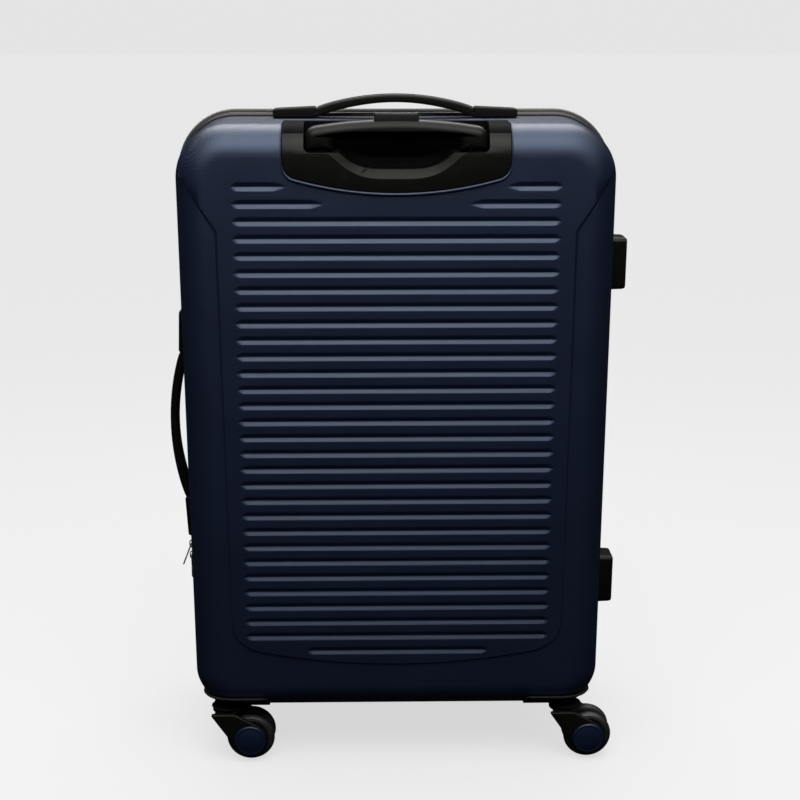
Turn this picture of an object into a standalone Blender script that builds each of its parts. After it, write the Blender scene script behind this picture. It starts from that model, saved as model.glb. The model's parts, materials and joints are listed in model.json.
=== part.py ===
"""Hard shell suitcase on four twin-wheel casters.

The case stands on its wheels with its trolley side facing -Y, +Z is up, and the origin is on the
ground under the middle of the whole object.  Two moulded shells meet at a zip closure in the plane
Y = 0.  They open like a book about a fabric hinge on the +X side.  All sizes are in metres.
"""
import math

import bmesh
import bpy
from mathutils import Matrix, Vector

# Case body
CASE_X = 0.003                  # middle of the case; the carry handle stands out more than the feet
CASE_WIDTH = 0.465
SHELL_BOTTOM = 0.063
SHELL_TOP = 0.7185
FACE_Y = 0.140                  # flat of either face, from the parting plane
RIM_Y = 0.009                   # edge of either shell
EDGE_RADIUS = 0.032             # rounding between the face and the sides
TOP_CORNER = 0.058
BOTTOM_CORNER = 0.047
DRAFT = 0.002                   # taper of the sides, rim to rounding
WALL = 0.003
CORNER_STEPS = 6
EDGE_STEPS = 5
GAP = 0.0003                    # clearance between touching pieces
SINK = 0.001                    # how far one solid reaches into another it is joined to
PAST = 0.010                    # how far a cutter runs on past the surface it cuts
FAR_X = 0.300                   # beyond everything, from the middle, for cutters
FAR_Y = 0.200
FAR_Z = 0.800
HOLE_SPAN = (0.050, 0.120)      # heights between which a caster's hole is cut

# Closure
TRIM_Y = 0.0165                 # far edge of each gloss trim
TRIM_PROUD = 0.004
TAPE_PROUD = 0.0065
TAPE_Y = 0.0087                 # far edge of each zip tape
HINGE_PROUD = 0.008             # fabric hinge, outside the shell
HINGE_LOW = 0.150
HINGE_HIGH = 0.630
HINGE_AXIS = 0.010              # hinge line, outside the shell

# Trolley
BEZEL_HALF = 0.1173
BEZEL_BOTTOM = 0.6497           # lowest point of its curved lower edge
BEZEL_SIDE_END = 0.6845         # where the straight side ends
BEZEL_CORNER_X = 0.1035
BEZEL_CORNER_Z = 0.6635
BEZEL_CORNER_RISE = 0.003       # roundness of the lower corners
BEZEL_PROUD = 0.0008
TRAY_BACK_Y = -0.088
TRAY_WALL = 0.0025
TRAY_HALF = 0.0955
TRAY_FLOOR = 0.689
SCOOP_HALF = 0.066
SCOOP_DROP = 0.020
GRIP_HALF = 0.0945
GRIP_TOP = 0.7215
GRIP_DROP = 0.0105              # how far its top falls towards the ends
GRIP_CROWN_HALF = 0.085         # half length of its arched top
GRIP_SHOULDER = 0.006           # height of the slope between top and ends
GRIP_GAP_HALF = 0.0655
GRIP_GAP_CORNER = 0.004
GRIP_GAP_TOP = 0.7005
GRIP_BOTTOM = 0.6895
GRIP_BACK_Y = -0.134
GRIP_FRONT_Y = -0.108
BUTTON_HALF = 0.0228
BUTTON_HALF_DEPTH = 0.008
BUTTON_ROOM = 0.004             # room below it for its stroke
BUTTON_TOP = 0.7275
BUTTON_SINK = 0.0085            # depth of its pocket in the grip
TUBE_X = 0.081
TUBE_Y = -0.121
TUBE_SIZES = ((0.0240, 0.0140), (0.0214, 0.0114), (0.0188, 0.0088))
TUBE_WALL = 0.0010
TUBE_SLOT = (0.600, 0.700)      # heights between which the tubes' slots in the bezel are cut
TUBE_BOTTOMS = (0.105, 0.280, 0.300)
TUBE_TOPS = (0.6880, 0.6870, 0.6892)
BRACKET_HALF = 0.100
BRACKET_HEIGHT = 0.012
BRACKET_HALF_DEPTH = 0.010

# Carry handles: half length u, height h above the shell, half width w
HANDLE_HALF = 0.1315
CAP_START = 0.085
CAP_OUTER_HEIGHT = 0.0075
CAP_INNER_HEIGHT = 0.0110
CAP_CORNER = 0.003
CAP_ROOF = 0.0015               # thickness over the pocket's far end
CAP_HALF_WIDTH = 0.0125
CAP_POCKET_END = 0.1225
CAP_POCKET_HEIGHT = 0.0101       # at the pocket's mouth
STRAP_HALF_WIDTH = 0.0115
TONGUE_HALF_WIDTH = 0.0095
TONGUE_END = 0.100
TONGUE_THICKNESS = 0.0020
TONGUE_ROOT = 0.002             # how far it starts inside the strap
TONGUE_RISE = 0.0002            # its underside above the strap's
STRAP_END_HEIGHT = 0.0040       # middle of the strap where it leaves the caps
STRAP_CREST = 0.0205            # middle of the strap at mid length
STRAP_END_THICKNESS = 0.0050
STRAP_THICKNESS = 0.0080
STRAP_FULLNESS = 0.40           # below 1, the bow rises sooner
HANDLE_Y = -0.0305
SIDE_HANDLE_Z = 0.3785

# Side feet
FOOT_PROUD = 0.0185
FOOT_HEIGHT = 0.057
FOOT_CENTRES = (0.566, 0.2015)
FOOT_NEAR_Y = -0.040
FOOT_FAR_Y = -0.078

# Casters
CASTER_X = 0.1955
CASTER_Y = 0.1115
WHEEL_RADIUS = 0.0275
WHEEL_WIDTH = 0.012
WHEEL_CHAMFER = 0.001
WHEEL_FLANK_RADIUS = 0.021      # outer edge of its flat side
WHEEL_SHOULDER_RADIUS = 0.0255
TREAD_HALF = 0.0025             # half width of the running surface
WHEEL_OFFSET_Y = 0.0115
TRAIL = 0.026
AXLE_RADIUS = 0.003
FORK_INNER = 0.0182
FORK_OUTER = 0.0245
FORK_BOSS_RADIUS = 0.0195
FORK_CUT = 0.040                # from the fork's middle, beyond its arms
HUB_SEAT_DEPTH = 0.0015
CROWN_BOTTOM = 0.0562
CROWN_TOP = 0.0597
CROWN_HALF = 0.018
CROWN_SLOPE = 0.006             # how far the arms' rear edge runs down below the crown
STEM_RADIUS = 0.005
STEM_TOP = 0.080
COLLAR_BOTTOM = 0.0602
HOUSING_TOP = 0.0805
HOUSING_INNER_X = 0.147
HOUSING_INNER_Y = 0.070
HOUSING_THICKNESS = 0.0018
SOCKET_RADIUS = 0.0097
SOCKET_TOP = 0.085
HUB_CAP_RADIUS = 0.0182
HUB_CAP_PROUD = 0.004
HUB_CAP_ROOT = 0.0012           # how deep it sits in its seat
HUB_CAP_BEVEL = 0.003
HUB_CAP_DOME = 0.008            # width of its sloping border

# Zip sliders on the -X side
SLIDER_Z = {"zip_slider_upper": 0.2230, "zip_slider_lower": 0.2090}
SLIDER_TILT = {"zip_slider_upper": math.radians(22.0), "zip_slider_lower": 0.0}
SLIDER_HALF_LENGTH = 0.0062
SLIDER_HALF_WIDTH = 0.0055
SLIDER_PLATE = (0.0068, 0.0098)
STAPLE_OPENING = 0.0027         # height under the staple's roof
STAPLE_HALF_WIDTH = 0.0015
STAPLE_HALF_LENGTH = 0.0040
STAPLE_GAP_HALF = 0.0028        # half length of the opening under it
SLIDER_CUT = 0.004              # half width of the cutters
PULL_WINDOW = (0.0022, 0.0078)  # half width and lower edge of the opening in a pull
STAPLE_ROOF = 0.0012
PULL_PIVOT = 0.0112
PULL_LENGTH = 0.028
PULL_HALF_WIDTH = 0.0040
PULL_THICKNESS = 0.0016

# Inside
LINING_THICKNESS = 0.0012
BUMP_ROOM = 0.0015              # room between a bump and what stands inside it
STRAP_MARGIN = 0.010            # inside the shell
STRAP_CORNER = (0.030, 0.050)   # how far the crossed straps end from the lining's corners
LINING_CLEARANCE = 0.0006
LINING_EDGE_Y = 0.0200
BACK_LINING_Y = 0.1010
FRONT_LINING_Y = 0.1355
STRAP_WIDTH = 0.025
STRAP_Y = -0.0215
PACKING_STRAP_THICKNESS = 0.0015
BUCKLE_SIZE = (0.056, 0.0060, 0.050)
DIVIDER_Y = 0.0150
DIVIDER_THICKNESS = 0.0015

COLOURS = {
    "shell": ((0.010, 0.018, 0.060), 0.45, 0.0),
    "black_plastic": ((0.018, 0.018, 0.016), 0.42, 0.0),
    "gloss_trim": ((0.030, 0.030, 0.030), 0.20, 0.0),
    "zip_fabric": ((0.030, 0.028, 0.024), 0.90, 0.0),
    "tube": ((0.550, 0.560, 0.580), 0.30, 1.0),
    "steel": ((0.600, 0.600, 0.600), 0.35, 1.0),
    "tyre": ((0.020, 0.020, 0.018), 0.60, 0.0),
    "lining": ((0.040, 0.040, 0.050), 0.90, 0.0),
}


# ---------------------------------------------------------------- helpers
def clear_scene():
    for item in list(bpy.data.objects):
        bpy.data.objects.remove(item, do_unlink=True)


def material(name):
    found = bpy.data.materials.get(name)
    if found:
        return found
    colour, roughness, metallic = COLOURS[name]
    made = bpy.data.materials.new(name)
    made.use_nodes = True
    shader = made.node_tree.nodes["Principled BSDF"]
    shader.inputs["Base Color"].default_value = (*colour, 1.0)
    shader.inputs["Roughness"].default_value = roughness
    shader.inputs["Metallic"].default_value = metallic
    return made


def finish_mesh(name, mesh_builder, slot, smooth_angle=None):
    """Turn a bmesh into a named object with outward faces."""
    bmesh.ops.recalc_face_normals(mesh_builder, faces=mesh_builder.faces)
    mesh = bpy.data.meshes.new(name)
    mesh_builder.to_mesh(mesh)
    mesh_builder.free()
    made = bpy.data.objects.new(name, mesh)
    bpy.context.scene.collection.objects.link(made)
    mesh.materials.append(material(slot))
    if smooth_angle:
        mesh.shade_smooth()
        mesh.set_sharp_from_angle(angle=math.radians(smooth_angle))
    return made


def loft(name, rings, slot, smooth_angle=None):
    """A closed body through rings that all have the same number of points."""
    builder = bmesh.new()
    loops = [[builder.verts.new(point) for point in ring] for ring in rings]
    for first, second in zip(loops, loops[1:]):
        count = len(first)
        for i in range(count):
            j = (i + 1) % count
            builder.faces.new((first[i], first[j], second[j], second[i]))
    builder.faces.new(loops[0])
    builder.faces.new(loops[-1])
    return finish_mesh(name, builder, slot, smooth_angle)


def prism(name, outline, y_low, y_high, slot):
    """An outline in X and Z, extruded along Y."""
    return loft(name, [[(x, y, z) for x, z in outline] for y in (y_low, y_high)], slot)


def box(name, low, high, slot):
    outline = ((low[0], low[2]), (high[0], low[2]), (high[0], high[2]), (low[0], high[2]))
    return prism(name, outline, low[1], high[1], slot)


def turned(name, profile, centre, axis, slot, segments=24):
    """A profile of (radius, distance) points turned about an axis through centre."""
    turn = Vector((0.0, 0.0, 1.0)).rotation_difference(Vector(axis)).to_matrix()
    rings = []
    for radius, distance in profile:
        ring = []
        for i in range(segments):
            angle = 2.0 * math.pi * i / segments
            point = Vector((radius * math.cos(angle), radius * math.sin(angle), distance))
            ring.append(turn @ point + Vector(centre))
        rings.append(ring)
    return loft(name, rings, slot, 40.0)


def change(body, tool, operation="DIFFERENCE"):
    """Cut a tool from a body, join it or keep what they share; the tool is used up."""
    step = body.modifiers.new("change", "BOOLEAN")
    step.object = tool
    step.operation = operation
    step.solver = "EXACT"
    bpy.context.view_layer.update()
    view = body.evaluated_get(bpy.context.evaluated_depsgraph_get())
    mesh = bpy.data.meshes.new_from_object(view)
    body.modifiers.clear()
    body.data = mesh
    bpy.data.objects.remove(tool, do_unlink=True)
    return body


def pivot(body, point):
    """Move an object's origin to a point without moving the object."""
    body.data.transform(Matrix.Translation(-Vector(point)))
    body.location = point
    return body


def joint_empty(name, point, bodies):
    """An empty on a joint's axis, which carries the pieces that turn about it."""
    holder = bpy.data.objects.new(name, None)
    holder.location = point
    bpy.context.scene.collection.objects.link(holder)
    bpy.context.view_layer.update()
    for body in bodies:
        body.parent = holder
        body.matrix_parent_inverse = holder.matrix_world.inverted()


def arc(centre, radius, start, end, steps):
    """Points of an arc; angles in degrees."""
    points = []
    for i in range(steps + 1):
        angle = math.radians(start + (end - start) * i / steps)
        points.append((centre[0] + radius * math.cos(angle), centre[1] + radius * math.sin(angle)))
    return points


# ---------------------------------------------------------------- case
def case_outline(inset):
    """The case seen from its face, in X and Z, pulled in by inset."""
    half = CASE_WIDTH / 2.0 - inset
    low = SHELL_BOTTOM + inset
    high = SHELL_TOP - inset
    top = TOP_CORNER - inset
    bottom = BOTTOM_CORNER - inset
    points = []
    points += arc((CASE_X + half - bottom, low + bottom), bottom, -90, 0, CORNER_STEPS)
    points += arc((CASE_X + half - top, high - top), top, 0, 90, CORNER_STEPS)
    points += arc((CASE_X - half + top, high - top), top, 90, 180, CORNER_STEPS)
    points += arc((CASE_X - half + bottom, low + bottom), bottom, 180, 270, CORNER_STEPS)
    return points


def case_ring(inset, y):
    return [(x, y, z) for x, z in case_outline(inset)]


def shell_rings(side, inset, rim_y=RIM_Y, depth=None):
    """Rings from the rim to the face of one half, inset all over; depth sets a shallower face."""
    face = FACE_Y if depth is None else depth
    radius = EDGE_RADIUS - inset
    flat = (FACE_Y - inset) if depth is None else face
    rings = [case_ring(inset, side * rim_y)]
    for i in range(EDGE_STEPS + 1):
        angle = 0.5 * math.pi * i / EDGE_STEPS
        pulled = DRAFT + inset + radius * (1.0 - math.cos(angle))
        rings.append(case_ring(pulled, side * (flat - radius + radius * math.sin(angle))))
    return rings


def hollow_shell(name, side):
    outer = shell_rings(side, 0.0)
    inner = shell_rings(side, WALL)
    return loft(name, list(reversed(inner)) + outer, "shell", 35.0)


def solid_half(inset, side=-1, rim_y=RIM_Y):
    return loft("solid_half", shell_rings(side, inset, rim_y), "shell")


def edge_band(name, side, y_near, y_far, inset_low, inset_high, slot):
    """A closed band around the case, as wide as y_near to y_far."""
    corners = ((inset_low, y_near), (inset_high, y_near), (inset_high, y_far), (inset_low, y_far))
    builder = bmesh.new()
    loops = []
    for inset, y in corners:
        loops.append([builder.verts.new(point) for point in case_ring(inset, side * y)])
    count = len(loops[0])
    for k in range(4):
        first = loops[k]
        second = loops[(k + 1) % 4]
        for i in range(count):
            j = (i + 1) % count
            builder.faces.new((first[i], first[j], second[j], second[i]))
    return finish_mesh(name, builder, slot, 35.0)


def build_shells():
    back = hollow_shell("back_shell", -1)
    change(back, prism("opening", bezel_outline(GAP), -FACE_Y - PAST, TRAY_BACK_Y + 2.0 * PAST, "shell"))
    front = hollow_shell("front_shell", 1)
    for body, side in ((back, -1), (front, 1)):
        for end in (-1, 1):
            hole_radius = SOCKET_RADIUS + GAP
            hole = turned("hole", ((hole_radius, HOLE_SPAN[0]), (hole_radius, HOLE_SPAN[1])),
                          (CASE_X + end * CASTER_X, side * CASTER_Y, 0.0), (0, 0, 1), "shell", 20)
            change(body, hole)
    return back, front


def build_closure():
    front_pieces = []
    for label, side in (("back", -1), ("front", 1)):
        trim = edge_band(label + "_trim", side, RIM_Y + GAP, TRIM_Y, -GAP, -TRIM_PROUD, "gloss_trim")
        tape = edge_band(label + "_zip_tape", side, GAP, TAPE_Y, WALL, -TAPE_PROUD, "zip_fabric")
        side_x = CASE_X + CASE_WIDTH / 2.0
        gap = box("gap", (side_x - 2.0 * PAST, -2.0 * PAST, HINGE_LOW - GAP),
                  (side_x + 2.0 * PAST, 2.0 * PAST, HINGE_HIGH + GAP), "zip_fabric")
        change(tape, gap)
        if side > 0:
            front_pieces += [trim, tape]
    side_x = CASE_X + CASE_WIDTH / 2.0
    box("fabric_hinge", (side_x - WALL, -TAPE_Y, HINGE_LOW), (side_x + HINGE_PROUD, TAPE_Y, HINGE_HIGH),
        "zip_fabric")
    return front_pieces


# ---------------------------------------------------------------- trolley
def bezel_outline(grow):
    """Rounded shield shape of the bezel, grown by a clearance; it runs out above the case."""
    half = BEZEL_HALF + grow
    lowest = BEZEL_BOTTOM - grow
    corner_x = BEZEL_CORNER_X + grow
    corner_z = BEZEL_CORNER_Z - grow
    sag = corner_z - lowest
    radius = (corner_x ** 2 + sag ** 2) / (2.0 * sag)
    right = [(half, SHELL_TOP + 2.0 * PAST)]
    steps = 4
    for i in range(steps + 1):
        t = i / steps
        x = (1 - t) ** 2 * half + 2 * t * (1 - t) * half + t ** 2 * corner_x
        z = (1 - t) ** 2 * BEZEL_SIDE_END + 2 * t * (1 - t) * (corner_z + BEZEL_CORNER_RISE) + t ** 2 * corner_z
        right.append((x, z))
    steps = 5
    for i in range(1, steps):
        x = corner_x * (1 - i / steps)
        right.append((x, lowest + radius - math.sqrt(radius ** 2 - x ** 2)))
    left = [(-x, z) for x, z in reversed(right)]
    return [(CASE_X + x, z) for x, z in right + [(0.0, lowest)] + left]


def build_bezel():
    bezel = prism("trolley_bezel", bezel_outline(0.0), -FACE_Y - PAST, TRAY_BACK_Y, "black_plastic")
    change(bezel, solid_half(-BEZEL_PROUD), "INTERSECT")
    pocket = box("pocket", (CASE_X - TRAY_HALF, -FAR_Y, TRAY_FLOOR),
                 (CASE_X + TRAY_HALF, TRAY_BACK_Y - TRAY_WALL, FAR_Z), "black_plastic")
    change(bezel, pocket)
    steps = 12
    scoop = [(CASE_X + SCOOP_HALF * math.cos(a), TRAY_FLOOR + SINK - SCOOP_DROP * math.sin(a))
             for a in (math.pi * i / steps for i in range(steps + 1))]
    change(bezel, prism("scoop", scoop, -FAR_Y, TRAY_BACK_Y - 2.0 * TRAY_WALL, "black_plastic"))
    for end in (-1, 1):
        size = TUBE_SIZES[0]
        half_x = size[0] / 2 + GAP
        half_y = size[1] / 2 + GAP
        slot = box("slot", (CASE_X + end * TUBE_X - half_x, TUBE_Y - half_y, TUBE_SLOT[0]),
                   (CASE_X + end * TUBE_X + half_x, TUBE_Y + half_y, TUBE_SLOT[1]), "black_plastic")
        change(bezel, slot)
    return bezel


def grip_outline():
    top = []
    steps = 8
    for i in range(steps + 1):
        x = GRIP_CROWN_HALF * (2.0 * i / steps - 1.0)
        top.append((x, GRIP_TOP - GRIP_DROP * (x / GRIP_HALF) ** 2))
    shoulder = GRIP_TOP - GRIP_DROP - GRIP_SHOULDER
    return ([(-GRIP_HALF, GRIP_BOTTOM), (-GRIP_HALF, shoulder)] + top
            + [(GRIP_HALF, shoulder), (GRIP_HALF, GRIP_BOTTOM), (GRIP_GAP_HALF, GRIP_BOTTOM),
               (GRIP_GAP_HALF, GRIP_GAP_TOP - GRIP_GAP_CORNER),
               (GRIP_GAP_HALF - GRIP_GAP_CORNER, GRIP_GAP_TOP),
               (-GRIP_GAP_HALF + GRIP_GAP_CORNER, GRIP_GAP_TOP),
               (-GRIP_GAP_HALF, GRIP_GAP_TOP - GRIP_GAP_CORNER),
               (-GRIP_GAP_HALF, GRIP_BOTTOM)])


def build_grip():
    outline = [(CASE_X + x, z) for x, z in grip_outline()]
    grip = prism("trolley_grip", outline, GRIP_BACK_Y, GRIP_FRONT_Y, "black_plastic")
    middle_y = 0.5 * (GRIP_BACK_Y + GRIP_FRONT_Y)
    low = (CASE_X - BUTTON_HALF, middle_y - BUTTON_HALF_DEPTH, GRIP_TOP - BUTTON_SINK)
    high = (CASE_X + BUTTON_HALF, middle_y + BUTTON_HALF_DEPTH, BUTTON_TOP)
    pocket = box("pocket", [value - GAP for value in low], [value + GAP for value in high], "black_plastic")
    change(grip, pocket)
    button = box("trolley_button", (low[0], low[1], low[2] + BUTTON_ROOM), high, "black_plastic")
    return grip, button


def tube(name, centre_x, size, bottom, top):
    half_x = size[0] / 2
    half_y = size[1] / 2
    body = box(name, (centre_x - half_x, TUBE_Y - half_y, bottom),
               (centre_x + half_x, TUBE_Y + half_y, top), "tube")
    hollow = box("hollow", (centre_x - half_x + TUBE_WALL, TUBE_Y - half_y + TUBE_WALL, bottom - PAST),
                 (centre_x + half_x - TUBE_WALL, TUBE_Y + half_y - TUBE_WALL, top + PAST), "tube")
    return change(body, hollow)


def build_tubes():
    stages = {"outer": [], "middle": [], "inner": []}
    for k, stage in enumerate(stages):
        for label, end in (("left", -1), ("right", 1)):
            body = tube("trolley_" + stage + "_tube_" + label, CASE_X + end * TUBE_X, TUBE_SIZES[k],
                        TUBE_BOTTOMS[k], TUBE_TOPS[k])
            stages[stage].append(body)
    low_z = TUBE_BOTTOMS[0] - GAP - BRACKET_HEIGHT
    box("trolley_foot_bracket", (CASE_X - BRACKET_HALF, TUBE_Y - BRACKET_HALF_DEPTH, low_z),
        (CASE_X + BRACKET_HALF, TUBE_Y + BRACKET_HALF_DEPTH, low_z + BRACKET_HEIGHT), "black_plastic")
    return stages


# ---------------------------------------------------------------- carry handles
def handle_on_top(u, h, w):
    return (CASE_X + u, HANDLE_Y + w, SHELL_TOP + h)


def handle_on_side(u, h, w):
    return (CASE_X - CASE_WIDTH / 2.0 - h, HANDLE_Y + w, SIDE_HANDLE_Z + u)


def handle_solid(name, outline, half_width, place):
    """An outline of (u, h) points as wide as the handle, put on one side of the case."""
    rings = [[place(u, h, w) for u, h in outline] for w in (-half_width, half_width)]
    return loft(name, rings, "black_plastic")


def strap_middle(u):
    bow = 0.5 + 0.5 * math.cos(math.pi * min(abs(u) / CAP_START, 1.0))
    return STRAP_END_HEIGHT + (STRAP_CREST - STRAP_END_HEIGHT) * bow ** STRAP_FULLNESS, bow


def build_handle(prefix, place):
    steps = 14
    span = CAP_START - 2.0 * GAP
    upper = []
    lower = []
    for i in range(steps + 1):
        u = -span + 2.0 * span * i / steps
        middle, bow = strap_middle(u)
        thickness = STRAP_END_THICKNESS + (STRAP_THICKNESS - STRAP_END_THICKNESS) * bow
        upper.append((u, middle + thickness / 2))
        lower.append((u, middle - thickness / 2))
    strap = handle_solid(prefix + "_handle_strap", lower + list(reversed(upper)), STRAP_HALF_WIDTH, place)
    floor = STRAP_END_HEIGHT - STRAP_END_THICKNESS / 2 + TONGUE_RISE
    for end in (-1, 1):
        tongue = ((end * (span - TONGUE_ROOT), floor), (end * TONGUE_END, floor),
                  (end * TONGUE_END, floor + TONGUE_THICKNESS),
                  (end * (span - TONGUE_ROOT), floor + TONGUE_THICKNESS))
        change(strap, handle_solid("tongue", tongue, TONGUE_HALF_WIDTH, place), "UNION")
    names = {"top": ("left", "right"), "side": ("lower", "upper")}[prefix]
    for label, end in zip(names, (-1, 1)):
        outline = ((end * CAP_START, GAP), (end * HANDLE_HALF, GAP),
                   (end * HANDLE_HALF, CAP_OUTER_HEIGHT - CAP_CORNER),
                   (end * (HANDLE_HALF - CAP_CORNER), CAP_OUTER_HEIGHT), (end * CAP_START, CAP_INNER_HEIGHT))
        cap = handle_solid(prefix + "_handle_cap_" + label, outline, CAP_HALF_WIDTH, place)
        pocket = ((end * (CAP_START - PAST), -PAST), (end * CAP_POCKET_END, -PAST),
                  (end * CAP_POCKET_END, CAP_OUTER_HEIGHT - CAP_ROOF),
                  (end * (CAP_START - PAST), CAP_POCKET_HEIGHT))
        change(cap, handle_solid("pocket", pocket, TONGUE_HALF_WIDTH + SINK, place))
    return strap


def build_feet():
    side_x = CASE_X + CASE_WIDTH / 2.0
    for label, centre in zip(("upper", "lower"), FOOT_CENTRES):
        low = (side_x - PAST, FOOT_FAR_Y, centre - FOOT_HEIGHT / 2)
        high = (side_x + FOOT_PROUD, FOOT_NEAR_Y, centre + FOOT_HEIGHT / 2)
        foot = box("side_foot_" + label, low, high, "black_plastic")
        change(foot, solid_half(-GAP, -1, 0.0))


# ---------------------------------------------------------------- casters
def outline_hull(points):
    """Convex outline around points in X and Z, in order."""
    ordered = sorted(points)
    halves = []
    for run in (ordered, list(reversed(ordered))):
        half = []
        for point in run:
            while len(half) > 1 and cross(half[-2], half[-1], point) <= 1e-12:
                half.pop()
            half.append(point)
        halves.append(half[:-1])
    return halves[0] + halves[1]


def cross(a, b, c):
    return (b[0] - a[0]) * (c[1] - a[1]) - (b[1] - a[1]) * (c[0] - a[0])


def build_fork(name, x, y, side):
    """A swivel fork whose open boss, for the hub cap, is on the given side."""
    boss = arc((TRAIL, WHEEL_RADIUS), FORK_BOSS_RADIUS, -180, 165, 23)
    crown = [(-CROWN_HALF, CROWN_TOP), (CROWN_HALF, CROWN_TOP), (-CROWN_HALF, CROWN_BOTTOM - CROWN_SLOPE)]
    arm = [(x + u, z) for u, z in outline_hull(boss + crown)]
    crown_block = [(x - CROWN_HALF, CROWN_BOTTOM), (x + CROWN_HALF, CROWN_BOTTOM),
                   (x + CROWN_HALF, CROWN_TOP), (x - CROWN_HALF, CROWN_TOP)]
    fork = prism(name, crown_block, y - FORK_INNER - 2.0 * SINK, y + FORK_INNER + 2.0 * SINK, "black_plastic")
    for arm_side in (-1, 1):
        edges = sorted((y + arm_side * FORK_INNER, y + arm_side * FORK_OUTER))
        change(fork, prism("arm", arm, edges[0], edges[1], "black_plastic"), "UNION")
    stem = turned("stem", ((STEM_RADIUS, CROWN_BOTTOM + SINK), (STEM_RADIUS, STEM_TOP)),
                  (x, y, 0.0), (0, 0, 1), "black_plastic", 16)
    change(fork, stem, "UNION")
    start = -0.5 * (FORK_OUTER + FORK_INNER)
    bore = turned("bore", ((AXLE_RADIUS + GAP, start), (AXLE_RADIUS + GAP, FORK_CUT)),
                  (x + TRAIL, y, WHEEL_RADIUS), (0, side, 0), "black_plastic", 16)
    change(fork, bore)
    seat_radius = HUB_CAP_RADIUS + GAP
    seat = turned("seat", ((seat_radius, FORK_OUTER - HUB_SEAT_DEPTH), (seat_radius, FORK_CUT)),
                  (x + TRAIL, y, WHEEL_RADIUS), (0, side, 0), "black_plastic", 24)
    change(fork, seat)
    return pivot(fork, (x, y, CROWN_TOP))


def wheel(name, x, y):
    half = WHEEL_WIDTH / 2
    bore = AXLE_RADIUS + GAP
    edge = half - WHEEL_CHAMFER
    profile = ((bore, -edge), (WHEEL_FLANK_RADIUS, -half), (WHEEL_SHOULDER_RADIUS, -edge),
               (WHEEL_RADIUS, -TREAD_HALF), (WHEEL_RADIUS, TREAD_HALF),
               (WHEEL_SHOULDER_RADIUS, edge), (WHEEL_FLANK_RADIUS, half), (bore, edge))
    builder = bmesh.new()
    loops = []
    segments = 24
    for radius, distance in profile:
        loop = []
        for i in range(segments):
            angle = 2.0 * math.pi * i / segments
            loop.append(builder.verts.new((x + radius * math.cos(angle), y + distance,
                                           WHEEL_RADIUS + radius * math.sin(angle))))
        loops.append(loop)
    for k in range(len(loops)):
        first = loops[k]
        second = loops[(k + 1) % len(loops)]
        for i in range(segments):
            j = (i + 1) % segments
            builder.faces.new((first[i], first[j], second[j], second[i]))
    made = finish_mesh(name, builder, "tyre", 40.0)
    return pivot(made, (x, y, WHEEL_RADIUS))


def build_housing(name, x, y, end, side):
    """Corner plate that wraps the shell's lower corner, with the caster's socket."""
    plate = solid_half(-HOUSING_THICKNESS, side)
    inner_x = CASE_X + end * HOUSING_INNER_X
    outer_x = CASE_X + end * FAR_X
    edges_x = sorted((inner_x, outer_x))
    edges_y = sorted((side * HOUSING_INNER_Y, side * FAR_Y))
    change(plate, box("keep", (edges_x[0], edges_y[0], 0.0), (edges_x[1], edges_y[1], HOUSING_TOP),
                      "black_plastic"), "INTERSECT")
    change(plate, solid_half(-GAP, side, 0.0))
    collar = turned("collar", ((CROWN_HALF, COLLAR_BOTTOM), (CROWN_HALF, SHELL_BOTTOM - GAP)),
                    (x, y, 0.0), (0, 0, 1), "black_plastic", 24)
    change(plate, collar, "UNION")
    socket = turned("socket", ((SOCKET_RADIUS, COLLAR_BOTTOM + SINK), (SOCKET_RADIUS, SOCKET_TOP)),
                    (x, y, 0.0), (0, 0, 1), "black_plastic", 20)
    change(plate, socket, "UNION")
    bore = turned("bore", ((STEM_RADIUS + GAP, HOLE_SPAN[0]), (STEM_RADIUS + GAP, STEM_TOP + SINK)),
                  (x, y, 0.0), (0, 0, 1), "black_plastic", 16)
    change(plate, bore)
    plate.name = name
    plate.data.materials.clear()
    plate.data.materials.append(material("black_plastic"))
    return plate


def build_caster(prefix, end, side):
    x = CASE_X + end * CASTER_X
    y = side * CASTER_Y
    axle_x = x + TRAIL
    housing = build_housing(prefix + "_housing", x, y, end, side)
    fork = build_fork(prefix + "_fork", x, y, side)
    start = -0.5 * (FORK_OUTER + FORK_INNER) + GAP
    axle = turned(prefix + "_axle", ((AXLE_RADIUS, start), (AXLE_RADIUS, FORK_OUTER - 2.0 * SINK)),
                  (axle_x, y, WHEEL_RADIUS), (0, side, 0), "steel", 12)
    cap = turned(prefix + "_hub_cap",
                 ((HUB_CAP_RADIUS, FORK_OUTER - HUB_CAP_ROOT), (HUB_CAP_RADIUS, FORK_OUTER + SINK),
                  (HUB_CAP_RADIUS - HUB_CAP_BEVEL, FORK_OUTER + HUB_CAP_PROUD - SINK),
                  (HUB_CAP_RADIUS - HUB_CAP_DOME, FORK_OUTER + HUB_CAP_PROUD)),
                 (axle_x, y, WHEEL_RADIUS), (0, side, 0), "shell", 24)
    wheels = [wheel(prefix + "_wheel_" + label, axle_x, y + side * offset)
              for label, offset in (("outer", WHEEL_OFFSET_Y), ("inner", -WHEEL_OFFSET_Y))]
    joint_empty(prefix + "_swivel_axis", (x, y, CROWN_TOP), [fork, axle, cap])
    joint_empty(prefix + "_wheel_axis", (axle_x, y, WHEEL_RADIUS), wheels)
    return [housing, fork, axle, cap] + wheels


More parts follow.
